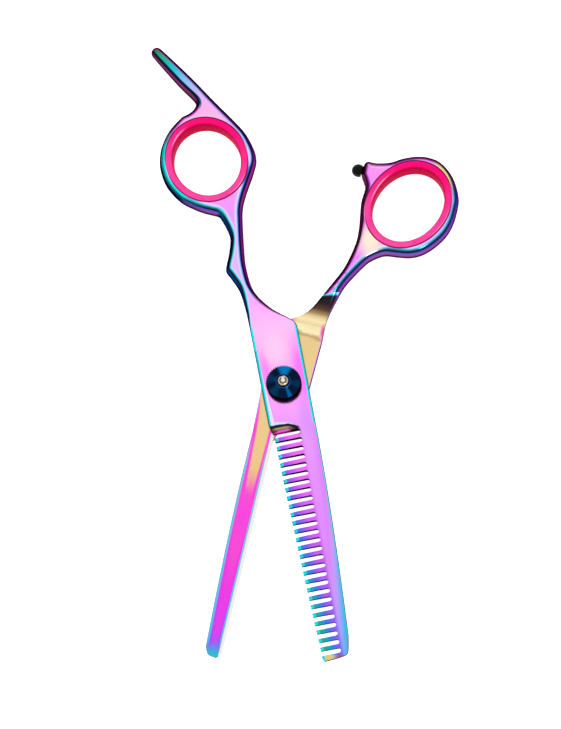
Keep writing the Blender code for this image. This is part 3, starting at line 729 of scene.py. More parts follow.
@dataclass(frozen=True)
class PlainMetal:
    """A turned or rolled metal with circular or straight grain, and any painted reflections, highlights and
    shade.
    """

    name: str
    colour: Colour
    stain: Colour
    roughness: float
    turned: bool = False
    anisotropy: float = 0.0
    tones: tuple[tuple[float, Colour], ...] = ()
    fans: tuple[tuple[float, float, Colour], ...] = ()
    rings: tuple[tuple[float, float, Colour], ...] = ()
    edge_tint: Colour = (1.0, 1.0, 1.0)

    def build(self) -> bpy.types.Material:
        """The material, with its turning lines and any painted reflections, highlights and shade.

        Returns:
            The material.
        """
        s = Shade(self.name)
        place = s.scaled(s.place("Object"), (1000, 1000, 1000))
        x, y, z = s.parts(place)
        radius = s.math("SQRT", s.math("ADD", s.math("MULTIPLY", x, x), s.math("MULTIPLY", y, y)))
        line = s.nodes.new("ShaderNodeCombineXYZ")
        s.feed(line.inputs[0], radius if self.turned else s.math("MULTIPLY", x, 2.0))
        s.feed(line.inputs[1], s.math("MULTIPLY", z, 0.7))
        lines = s.noise(line.outputs[0], 14.0, 3.0, 0.6)
        blotch = s.noise(place, 0.7, 3.0)
        colour = s.mixed(s.ranged(blotch, 0.35, 0.7), self.colour, self.stain)
        level = s.math("ABSOLUTE", s.parts(s.place("Normal"))[2])
        tilt = s.math("MULTIPLY", s.math("ARCCOSINE", level), 2 / math.pi)
        # Colours by tilt, mixed in strongly: painted reflections and painted shade.
        if self.tones:
            colour = s.mixed(0.85, colour, s.ramp(tilt, self.tones))
        # Painted highlights: lighter fans round the axis, on the near-level faces.
        for heading, half, tint in self.fans:
            way = math.radians(heading)
            ahead = s.math("ADD", s.math("MULTIPLY", x, math.sin(way)), s.math("MULTIPLY", y, math.cos(way)))
            across = s.math("DIVIDE", ahead, s.math("MAXIMUM", radius, 0.01))
            edge = math.cos(math.radians(half))
            fan = s.math("MULTIPLY", s.ranged(across, edge, 1.0), s.ranged(tilt, 0.4, 0.3))
            colour = s.mixed(fan, colour, tint)
        # Painted rings round the axis: painted highlight and painted shade.
        for middle, half, tint in self.rings:
            off = s.math("ABSOLUTE", s.math("SUBTRACT", radius, middle))
            colour = s.mixed(s.ranged(off, half, half * 0.4), colour, tint)
        colour = s.mixed(s.math("MULTIPLY", s.ranged(lines, 0.55, 0.8), 0.04), colour, (1.0, 1.0, 1.0))
        s.bump(lines, 0.002, 0.5)
        rough = s.math("ADD", self.roughness - 0.05, s.math("MULTIPLY", lines, 0.1))
        s.set(base_color=colour, metallic=1.0, roughness=rough, anisotropic=self.anisotropy)
        s.set(specular_tint=self.edge_tint)
        if self.anisotropy:
            tangent = s.nodes.new("ShaderNodeTangent")
            tangent.direction_type = "RADIAL"
            tangent.axis = "Z"
            s.links.new(tangent.outputs[0], s.shader.inputs["Tangent"])
        return s.material


@dataclass(frozen=True)
class MouldedSoft:
    """A moulded rubber or plastic with a fine matt skin."""

    name: str
    colour: Colour
    deep: Colour
    roughness: float
    # Painted shade: the colour that steep walls darken to.
    wall: Colour | None = None
    skin: float = 0.01
    gloss: float = 0.5
    # Painted highlight: the lighter colour on the rounding that faces the lower-right lamp.
    painted_highlight: Colour | None = None
    # Painted shade: the colour the linings darken to towards the rings' far side.
    far: Colour | None = None

    def build(self) -> bpy.types.Material:
        """The material: pebbled skin, faint flow marks, walls and far side darkened with painted shade, a
        painted highlight on one rounding.

        Returns:
            The material.
        """
        s = Shade(self.name)
        place = s.scaled(s.place("Object"), (1000, 1000, 1000))
        pebbles = s.noise(place, 5.0, 4.0, 0.6)
        flow = s.noise(place, 0.35, 2.0)
        colour = s.mixed(s.ranged(flow, 0.35, 0.7), self.colour, self.deep)
        # Painted shade: the colour darkens towards the far, upper side of each ring.
        if self.far:
            x, y, _ = s.parts(place)
            away = s.math("ADD", y, s.math("MULTIPLY", x, 0.238))
            colour = s.mixed(s.ranged(away, 47.0, 69.0), colour, self.far)
        # Painted shade: steep walls, the ring's inner wall among them, are mixed towards the darker wall
        # colour.
        if self.wall:
            level = s.math("ABSOLUTE", s.parts(s.place("Normal"))[2])
            colour = s.mixed(s.ranged(level, 0.9, 0.3), colour, self.wall)
        # Painted highlight: the rounding that faces the lower-right lamp is mixed towards a pale pink.
        if self.painted_highlight:
            nx, ny, _ = s.parts(s.place("Normal"))
            toward = s.math("SUBTRACT", s.math("MULTIPLY", nx, 0.84), s.math("MULTIPLY", ny, 0.54))
            lit = s.math("MULTIPLY", s.ranged(toward, 0.36, 0.5), s.ranged(toward, 0.72, 0.56))
            side = s.math("ADD", s.math("MULTIPLY", nx, 0.54), s.math("MULTIPLY", ny, 0.84))
            lit = s.math("MULTIPLY", lit, s.ranged(s.math("ABSOLUTE", side), 0.22, 0.04))
            colour = s.mixed(s.math("MULTIPLY", lit, 0.8), colour, self.painted_highlight)
        rough = s.math("ADD", self.roughness - 0.06, s.math("MULTIPLY", pebbles, 0.12))
        s.bump(pebbles, self.skin, 0.6)
        s.set(base_color=colour, roughness=rough, specular_ior_level=self.gloss)
        return s.material


# ---------------------------------------------------------------- the halves


@dataclass(frozen=True)
class Stack:
    """The heights of the two halves, from the rest plane up, and their shared plan sizes."""

    plain_floor: float = 0.3
    plain_face: float = 3.1
    comb_face: float = 3.4
    comb_roof: float = 6.2
    blade_length: float = 72.5
    handle_length: float = 65.0
    plate_half: float = 6.2
    shoulder_y: float = 15.8
    ramp_foot_y: float = 19.5
    ramp_top_y: float = 29.0
    heel_y: float = -10.2
    first_tooth_y: float = -13.1

    @property
    def middle(self) -> float:
        """The height halfway through the handles."""
        return (self.plain_floor + self.comb_roof) / 2

    def along_blade(self, y: np.ndarray | float) -> np.ndarray | float:
        """How far along the blade, from 0 at the first tooth to 1 at the tip."""
        return np.clip((self.first_tooth_y - y) / (self.blade_length + self.first_tooth_y), 0, 1)

    def handle_share(self, y: np.ndarray) -> np.ndarray:
        """1 in the handle's full thickness, 0 at the ride face, with a hollow ramp between."""
        share = np.clip((y - self.ramp_foot_y) / (self.ramp_top_y - self.ramp_foot_y), 0, 1)
        return share**1.6


@dataclass(frozen=True)
class Ring:
    """A finger insert's outer ellipse."""

    centre: Point2
    semi: Point2
    lean: float

    def point(self, angle: float, out: float = 0.0) -> Point2:
        """A point at an angle in degrees from the ring's length, a distance outside the ellipse.

        Args:
            angle: Degrees round the ring from its length.
            out: Distance outside the insert.

        Returns:
            The point's X and Y.
        """
        across, along = self.semi
        turn = math.radians(angle)
        reach = across * along / math.hypot(along * math.sin(turn), across * math.cos(turn)) + out
        heading = turn + math.radians(self.lean)
        return self.centre[0] - reach * math.sin(heading), self.centre[1] + reach * math.cos(heading)

    def loop(self, out: float, sides: int) -> Plan:
        """The closed loop that runs a distance outside the ellipse."""
        return np.array([self.point(360 * n / sides, out) for n in range(sides)])

    def path(self, *steps: Point2) -> list[Point2]:
        """The points at several (angle, distance out) steps."""
        return [self.point(angle, out) for angle, out in steps]


STACK = Stack()
LEFT_RING = Ring((-9.1, STACK.handle_length), (10.9, 12.0), 11.0)
RIGHT_RING = Ring((19.5, STACK.handle_length - 9.7), (10.75, 12.7), -23.0)


class Side(Enum):
    """Which face of a half."""

    TOP = 1
    BOTTOM = -1


@dataclass
class ForgedHalf:
    """One half: a plan outline between two surfaces, its edges rounded, with holes.

    Attributes:
        turn: Degrees from shut to its place in the open shears.
        ring: The finger ring's ellipse.
        handle_round: How far in the handle's edges are rounded, and how deep.
        plate_round: The same for the ride plate's outer edges.
        micro: The rounding of an edge that looks sharp.
    """

    name: str
    body: str
    turn: float
    ring: Ring
    finish: RainbowCoating
    handle_round: Point2 = (2.2, 2.9)
    plate_round: Point2 = (0.85, 0.85)
    breaks: tuple[float, ...] = ()
    micro: float = 0.07
    seat: float = 0.2
    lip_depth: float = 1.1
    waist: float = -0.4
    ring_sides: int = 220
    step: float = 0.36

    def outline(self) -> Plan:
        """The half's closed plan outline, anticlockwise."""
        raise NotImplementedError

    def height(self, plan: Plan, side: Side) -> np.ndarray:
        """The surface's height before its edges are rounded."""
        raise NotImplementedError

    def rounding(self, rim: Plan, side: Side) -> tuple[np.ndarray, np.ndarray]:
        """How far in, and how deep, the edge is rounded at each point of the outline."""
        raise NotImplementedError

    def holes(self, side: Side) -> list[Plan]:
        """The loops that the holes make in one face."""
        raise NotImplementedError

    def spread(self) -> Plan:
        """Further plan points that the surfaces need."""
        raise NotImplementedError

    def linings(self, levels: dict[Side, Callable[[Plan], np.ndarray]]) -> list[list[np.ndarray]]:
        """The walls inside the holes, as loops from the bottom face to the top one."""
        raise NotImplementedError

    def masks(self, plan: Plan) -> dict[str, np.ndarray]:
        """Numbers to store at each point for the finish."""
        return {"bare": np.zeros(len(plan)), "rim": np.ones(len(plan))}

    def ring_lining(self, levels: dict[Side, Callable[[Plan], np.ndarray]]) -> list[np.ndarray]:
        """The wall of the ring's hole, with the rebate for each lip of the insert.

        Args:
            levels: For each face, its height over any plan points.

        Returns:
            The lining's loops, from the bottom to the top.
        """
        lips = self.ring.loop(self.seat, self.ring_sides)
        waist = self.ring.loop(self.waist, self.ring_sides)
        low, high = STACK.plain_floor + self.lip_depth, STACK.comb_roof - self.lip_depth
        return [
            lifted(lips, levels[Side.BOTTOM](lips)),
            lifted(lips, low),
            lifted(waist, low),
            lifted(waist, high),
            lifted(lips, high),
            lifted(lips, levels[Side.TOP](lips)),
        ]

    def inset(self, rim: Plan, widths: np.ndarray) -> Plan:
        """The points inside the outline where its rounded edge needs them.

        Args:
            rim: Points of the outline.
            widths: How far in each point moves.

        Returns:
            The moved points.
        """
        side = np.roll(rim, -1, axis=0) - np.roll(rim, 1, axis=0)
        inward = np.stack([-side[:, 1], side[:, 0]], 1) / np.linalg.norm(side, axis=1)[:, None]
        kept = []
        wide, narrow = widths > 0.4, (widths > 0.2) & (widths < 1.2)
        rows = []
        for angle in (80, 70, 60, 50, 40, 31, 23, 15, 8, 0):
            depth = widths * (1 - math.sin(math.radians(angle)))
            rows.append((depth, wide if angle in (70, 50, 31, 15, 8) else widths > 0))
        rows += [(np.full(len(rim), depth), narrow) for depth in self.breaks]
        for depth, chosen in rows:
            depth = depth[chosen]
            moved = rim[chosen] + inward[chosen] * depth[:, None]
            gap, _, _ = nearest(moved, rim)
            kept.append(moved[(gap > 0.93 * depth) & inside(moved, rim)])
        return np.concatenate(kept)

    def face(self, rim: Plan, side: Side) -> tuple[np.ndarray, list[tuple[int, ...]], Callable]:
        """One face of the half.

        Args:
            rim: The outline.
            side: Which face.

        Returns:
            The face's points, its triangles, and the function that gives any point's height.
        """
        width, drop = self.rounding(rim, side)
        after_width, after_drop = np.roll(width, -1), np.roll(drop, -1)
        other = Side.BOTTOM if side is Side.TOP else Side.TOP

        def level(plan: Plan) -> np.ndarray:
            """The face's height at each plan point, with the rounding of its edges.

            Args:
                plan: Plan points, one to a row.

            Returns:
                The height at each point.
            """
            depth, index, share = nearest(plan, rim)
            wide = np.maximum(width[index] + (after_width[index] - width[index]) * share, 1e-6)
            deep = drop[index] + (after_drop[index] - drop[index]) * share
            deep = np.minimum(deep, 0.49 * np.abs(self.height(plan, side) - self.height(plan, other)))
            lean = np.clip(1 - depth / wide, 0, 1)
            return self.height(plan, side) - side.value * deep * (1 - np.sqrt(1 - lean**2))

        holes = self.holes(side)
        rows = self.inset(rim, width)
        extra = self.spread()
        gap, index, _ = nearest(extra, rim)
        extra = extra[inside(extra, rim) & (gap > width[index] + 0.12)]
        for loop in holes:
            rows = rows[~inside(rows, loop) & (nearest(rows, loop)[0] > 0.12)]
            extra = extra[~inside(extra, loop) & (nearest(extra, loop)[0] > 0.2)]
        plan = np.concatenate([rim, *holes, rows, extra])
        sides, start = [], 0
        for loop in (rim, *holes):
            sides += [(start + n, start + (n + 1) % len(loop)) for n in range(len(loop))]
            start += len(loop)
        found = delaunay_2d_cdt([Vector(point) for point in plan], sides, [], 1, 1e-4)
        plan = np.array([tuple(point) for point in found[0]])
        corners = np.array(found[2])
        centres = plan[corners].mean(1)
        keep = inside(centres, rim)
        for loop in holes:
            keep &= ~inside(centres, loop)
        return np.column_stack([plan, level(plan)]), [tuple(c) for c in corners[keep]], level

    def build(self) -> bpy.types.Object:
        """Builds the half, dresses it and puts it in place.

        Returns:
            The object, riding on its body.
        """
        rim = self.outline()
        skin = Skin()
        levels = {}
        for side in Side:
            points, triangles, levels[side] = self.face(rim, side)
            index = skin.add_points(points)
            for triangle in triangles:
                skin.add_face([index[n] for n in triangle])
        walls = [levels[Side.BOTTOM](rim), levels[Side.TOP](rim)]
        skin.band([lifted(rim, walls[0]), lifted(rim, walls[1])])
        for lining in self.linings(levels):
            skin.band(lining)
        piece = skin.piece(self.name, 35.0, self.turn)
        plan = turned(np.array([v.co.xy for v in piece.data.vertices]) / MM, -self.turn)
        for name, values in self.masks(plan).items():
            layer = piece.data.attributes.new(name, "FLOAT", "POINT")
            layer.data.foreach_set("value", values.astype(np.float32))
        piece.data.materials.append(self.finish.build(self.turn))
        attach(piece, self.body)
        LOG.info("%s: %d faces", self.name, len(piece.data.polygons))
        return piece


@dataclass
class CombHalf(ForgedHalf):
    """The upper half: the tang, the left ring, the ride plate and the comb."""

    plate_round: Point2 = (0.3, 0.3)
    breaks: tuple[float, ...] = (0.42, 0.54, 0.64, 0.69, 0.83, 0.9, 1.1)
    chamfer: tuple[float, float, float] = (0.86, 0.66, 0.42)
    teeth: int = 27
    first_tooth: float = STACK.first_tooth_y - 0.75
    gap_share: float = 0.53
    reach_heel: float = 5.0
    reach_tip: float = 3.4
    root_heel: float = 2.0
    root_tip: float = 1.6
    tip_tooth_extra: float = 0.5
    notch: Point2 = (0.35, 0.5)
    back_thickness: Point2 = (2.35, 1.55)
    back_crown: Point2 = (0.12, 0.06)
    back_blend: float = 2.5
    tooth_fall: float = 0.09
    tooth_tip_thickness: float = 1.3
    tooth_edge: float = 0.25
    tooth_chamfer: float = 0.85
    chamfer_slope: float = 0.42
    grind_length: float = 2.0
    grind_fade: float = 9.0
    facet: Point2 = (1.1, 0.22)
    tang_length: float = 21.0
    tang_lean: float = 32.0
    tang_width: float = 3.9
    tang_tip: float = 1.55
    tang_taper: float = 1.1
    plate_crown: float = 0.002
    bush_bore: float = 3.2
    washer_pocket: Point2 = (4.2, 4.2)
    ring_wall: float = 1.8

    @property
    def pitch(self) -> float:
        """From one tooth to the next."""
        return (STACK.blade_length + self.first_tooth - self.tip_tooth_extra - 0.5) / (self.teeth - 1)

    def reach(self, y: np.ndarray | float) -> np.ndarray | float:
        """From the centre line to the tooth tips."""
        return between(self.reach_heel, self.reach_tip, STACK.along_blade(y) ** 1.5)

    def root(self, y: np.ndarray | float) -> np.ndarray | float:
        """From the centre line to the foot of the gaps."""
        return between(self.root_heel, self.root_tip, STACK.along_blade(y))

    def back(self, y: np.ndarray | float) -> np.ndarray | float:
        """From the centre line to the comb's back."""
        return between(STACK.plate_half, 3.9, STACK.along_blade(y) ** 1.7)

    def tang_axis(self) -> tuple[np.ndarray, np.ndarray, np.ndarray]:
        """The tang's root, its direction, and the direction across it.

        Returns:
            The root, the direction, and the direction across.
        """
        lean = math.radians(self.tang_lean)
        along = np.array((-math.sin(lean), math.cos(lean)))
        return np.array(self.ring.point(-22, 4.3)), along, np.array((along[1], -along[0]))

    def tang(self) -> list[np.ndarray]:
        """The tang's right side, its round tip, and its left side back to the fillet.

        Returns:
            Its points, in order.
        """
        root, along, across = self.tang_axis()
        half = self.tang_width / 2
        middle = root + along * self.tang_length / 2
        right = [root - along * 12.0 + across * half, root + across * half, middle + across * half]
        cap = []
        for angle in (0, 45, 90, 135, 180):
            turn = math.radians(angle)
            swing = across * math.cos(turn) + along * math.sin(turn)
            cap.append(root + along * self.tang_length + self.tang_tip * swing)
        left = [
            middle - across * (half + 0.1),
            root + along * 4.2 - across * half,
            root + along * 2.5 - across * (half + 0.4),
            root + along * 1.8 - across * (half + 2.0),
            root + along * 1.9 - across * (half + 3.8),
            root + along * 2.4 - across * (half + 5.6),
        ]
        return [*right, *cap, *left]

    def handle(self) -> list[np.ndarray]:
        """The handle, from the plate's right shoulder round to the plate's left side.

        Returns:
            Its points, in order.
        """
        top = STACK.handle_length - self.ring.semi[1] - 6.0
        y = [between(STACK.shoulder_y, top, n / 10) for n in range(11)]
        half = STACK.plate_half
        knots = [
            (half - 1.1, STACK.shoulder_y + 1.3),
            (0.3, y[2] - 0.5),
            (-3.2, y[4] - 1.2),
            (-4.1, y[6] - 0.8),
            (-3.7, y[8] - 1.3),
            *self.ring.path((-169, 5.7), (-162, 3.5), (-152, 2.1), (-139, 1.5)),
            *self.ring.path((-125, 1.6), (-111, 2.1), (-96, 2.0)),
            *self.tang(),
            *self.ring.path((25, 2.0), *((angle, self.ring_wall) for angle in (38, 54, 75, 100, 125))),
            *self.ring.path((143, 1.85), (155, 2.3), (164, 2.85), (171, 3.9)),
            (-6.9, y[9] - 0.5),
            (-7.7, y[8] - 1.4),
            (-9.2, y[6] + 0.9),
            (-9.5, y[6] - 0.7),
            (-8.5, y[5] + 0.3),
            (-7.0, y[4] - 0.4),
            (-6.3, y[2]),
            (-half + 0.1, STACK.shoulder_y - 1.0),
        ]
        return smooth(knots, self.step)

    def tooth(self, centre_y: float, half_width: float) -> list[Point2]:
        """One tooth's tip, from its lower corner to its upper one, with a notch in it.

        Args:
            centre_y: Y of its middle.
            half_width: Half its width.

        Returns:
            Its points, in order.
        """
        reach = self.reach(centre_y)
        deep, wide = self.notch
        return [
            (-reach + 0.15, centre_y - half_width),
            (-reach, centre_y - half_width + 0.15),
            (-reach, centre_y - wide / 2),
            (-reach + deep, centre_y),
            (-reach, centre_y + wide / 2),
            (-reach, centre_y + half_width - 0.15),
            (-reach + 0.15, centre_y + half_width),
        ]

    def gap(self, centre_y: float, sides: int = 10) -> list[Point2]:
        """The rounded foot of a gap, from below to above.

        Args:
            centre_y: Y of its middle.
            sides: Number of points round it.

        Returns:
            Its points, in order.
        """
        half = self.pitch * self.gap_share / 2
        root = self.root(centre_y) - half
        turns = [math.pi * (n / sides - 0.5) for n in range(sides + 1)]
        return [(root + half * math.cos(turn), centre_y + half * math.sin(turn)) for turn in turns]

    def toothed_side(self) -> list[Point2]:
        """The toothed side, from the tip up to the heel.

        Returns:
            Its points, in order.
        """
        half_tooth = self.pitch * (1 - self.gap_share) / 2
        points = []
        for n in reversed(range(self.teeth)):
            y = self.first_tooth - n * self.pitch
            if n < self.teeth - 1:
                points += self.tooth(y, half_tooth)
            else:
                reach = self.reach(y)
                points.append((-reach + 0.5, -STACK.blade_length))
                points.append((-reach, -STACK.blade_length + 1.0))
                points.append((-reach, y + half_tooth))
            points += self.gap(y + self.pitch / 2)
        return points

    def outline(self) -> Plan:
        """The half's closed plan outline, anticlockwise.

        Returns:
            The outline's points.
        """
        half, tip = STACK.plate_half, -STACK.blade_length
        heel = self.first_tooth + self.pitch * (0.5 + self.gap_share / 2)
        back = [(self.back(y), y) for y in np.linspace(tip + 5.5, -2.0, 150)]
        corner = smooth([(0.5, tip + 0.25), (2.8, tip + 0.72), (3.5, tip + 1.6), back[0]], self.step)
        shoulder = [(half, STACK.shoulder_y - 0.6), (half - 0.35, STACK.shoulder_y + 0.45)]
        heel_side = [(-half + 0.2, 0.0), (-5.9, heel + 2.6), (-self.reach(heel) - 0.2, heel)]
        loop = [*self.toothed_side()[::-1], *corner[:-1], *back, *shoulder, *self.handle(), *heel_side]
        return divided(loop, self.step)

    def height(self, plan: Plan, side: Side) -> np.ndarray:
        """The surface's height before its edges are rounded.

        Args:
            plan: Plan points, one to a row.
            side: Face that is wanted.

        Returns:
            The height at each point.
        """
        x, y = plan[:, 0], plan[:, 1]
        root, along, _ = self.tang_axis()
        out = np.clip(((plan - root) @ along - 4.0) / self.tang_length, 0, 1)
        out = out * (y > root[1])
        if side is Side.BOTTOM:
            base = STACK.comb_face + (STACK.plain_floor - STACK.comb_face) * STACK.handle_share(y)
            return base + self.tang_taper * out**1.3
        share = STACK.along_blade(y)
        thick, thin = self.back_thickness
        back = STACK.comb_face + between(thick + self.back_crown[0], thin + self.back_crown[1], share)
        teeth = STACK.comb_face + between(thick, thin, share)
        teeth = teeth - (self.root_heel - x) * self.tooth_fall
        teeth = np.maximum(teeth, STACK.comb_face + self.tooth_tip_thickness)
        chamfer = self.tooth_chamfer - (x + self.reach(y))
        teeth = teeth - self.chamfer_slope * np.clip(chamfer, 0, None)
        teeth = np.maximum(teeth, STACK.comb_face + self.tooth_edge)
        rise = eased(teeth, back, (x - self.root_heel) / self.back_blend)
        ground = np.where(x > self.root_heel, rise, teeth)
        start = self.heel(x)
        fade = np.clip((x - self.root_heel + 1.0) / self.back_blend, 0, 1)
        length = self.grind_length + self.grind_fade * fade
        step = np.clip((start - y) / length, 0, 1)
        roof = STACK.comb_roof - self.tang_taper * out**1.3 - self.plate_crown * np.where(y < 18, x, 0) ** 2
        roof = roof - self.facet_drop(x, y)
        smooth_step = step * step * (3 - 2 * step)
        steep = np.sqrt(1 - (1 - step) ** 2)
        top = roof + (ground - roof) * between(steep, smooth_step, np.clip((x - 1.2) / 0.9, 0, 1))
        left, right, slope = self.chamfer
        on_plate = eased(0, 1, (25 - y) / 10)
        top = top - slope * on_plate * np.clip(right - (self.back(y) - x), 0, None) * (x > 0)
        on_plate = on_plate * (y > STACK.heel_y - 2)
        return top - slope * on_plate * np.clip(left - (x + STACK.plate_half), 0, None)

    def heel(self, x: np.ndarray) -> np.ndarray:
        """Y of the plate's lower edge, which curls down into the comb's back."""
        return STACK.heel_y - 0.03 * (x + STACK.plate_half) - 0.38 * np.clip(x + 1.0, 0, 3.2)

    def facet_drop(self, x: np.ndarray, y: np.ndarray) -> np.ndarray:
        """How far the plate's left and lower edges are bevelled away.

        Args:
            x: Places across the half.
            y: Places along the half.

        Returns:
            The drop at each point.
        """
        wide, slope = self.facet
        left = wide * np.clip((10.5 - y) / 20, 0, 1)
        lower = wide * 0.95 * np.clip((1.2 - x) / 6.5, 0, 1)
        left = left + self.chamfer[0] * (left > 0) - (x + STACK.plate_half)
        lower = lower - np.clip(y - self.heel(x), 0, None)
        return slope * np.maximum(np.maximum(left, lower) * (y < 12), 0)

    def rounding(self, rim: Plan, side: Side) -> tuple[np.ndarray, np.ndarray]:
        """How far in, and how deep, the edge is rounded at each point of the outline.

        Args:
            rim: Points of the outline.
            side: Face that is wanted.

        Returns:
            The width and the depth at each point.
        """
        x, y = rim[:, 0], rim[:, 1]
        root, along, _ = self.tang_axis()
        out = np.clip(((rim - root) @ along - 2.0) / 4.0, 0, 1) * (y > root[1])
        full = np.clip((y - 15) / 13, 0, 1)
        if side is Side.BOTTOM:
            full = STACK.handle_share(y) ** 0.5
            width = self.micro + (self.handle_round[0] - self.micro) * full
            drop = self.micro + (self.handle_round[1] - self.micro) * full
        else:
            width = eased(self.plate_round[0], self.handle_round[0], full)
            drop = eased(self.plate_round[1], self.handle_round[1], full)
            teeth = (x < self.root_heel + 0.3) & (y < STACK.heel_y - 0.4)
            width = np.where(teeth, self.micro, width)
            drop = np.where(teeth, self.micro, drop)
        width = width - (self.handle_round[0] - 1.85) * out * (y > root[1])
        return width, drop

    def holes(self, side: Side) -> list[Plan]:
        """The ring's hole, with the bush's bore above and the washer's pocket below."""
        radius = self.bush_bore if side is Side.TOP else self.washer_pocket[0]
        return [self.ring.loop(self.seat, self.ring_sides), circle(radius, 96)]

    def linings(self, levels: dict[Side, Callable[[Plan], np.ndarray]]) -> list[list[np.ndarray]]:
        """The walls inside the holes, as loops from the bottom face to the top one.

        Args:
            levels: For each face, its height over any plan points.

        Returns:
            The loops of each lining.
        """
        radius, roof = self.washer_pocket
        pocket, bore = circle(radius, 96), circle(self.bush_bore, 96)
        bores = [
            lifted(pocket, levels[Side.BOTTOM](pocket)),
            lifted(pocket, roof),
            lifted(bore, roof),
            lifted(bore, levels[Side.TOP](bore)),
        ]
        return [self.ring_lining(levels), bores]

    def masks(self, plan: Plan) -> dict[str, np.ndarray]:
        """The colour runs ahead towards the tooth tips and the comb's back, where the finish also paints a
        dark reflection along the very edge.

        Args:
            plan: Plan points, one to a row.

        Returns:
            Each mask's values.
        """
        x, y = plan[:, 0], plan[:, 1]
        inward = np.minimum((x + self.reach(y)) / 4.5, (self.back(y) - x) / 4.0 + 0.45)
        blade = np.clip((STACK.heel_y - y) / 3, 0, 1)
        return {"bare": np.zeros(len(plan)), "rim": 1 - (1 - np.clip(inward, 0, 1)) * blade}

    def spread(self) -> Plan:
        """Further plan points: fine at the heel, on the teeth and on the ramp, coarse elsewhere.

        Returns:
            The points.
        """
        heel = grid((-6.4, 3.5), (STACK.heel_y - 2.8, STACK.heel_y + 1.6), 0.22)
        left = grid((-6.4, -4.2), (STACK.heel_y + 1.6, 12), 0.3)
        flow = grid((1.6, 6.4), (STACK.heel_y - 13, STACK.heel_y), 0.5)
        comb = grid((-5.2, 6.4), (-STACK.blade_length, STACK.heel_y - 2.8), 0.42)
        plate = grid((-6.4, 6.4), (STACK.heel_y, 17), 0.9)
        handle = grid((-40, 14), (17, 110), 0.9)
        return np.concatenate([heel, left, flow, comb, plate, handle])


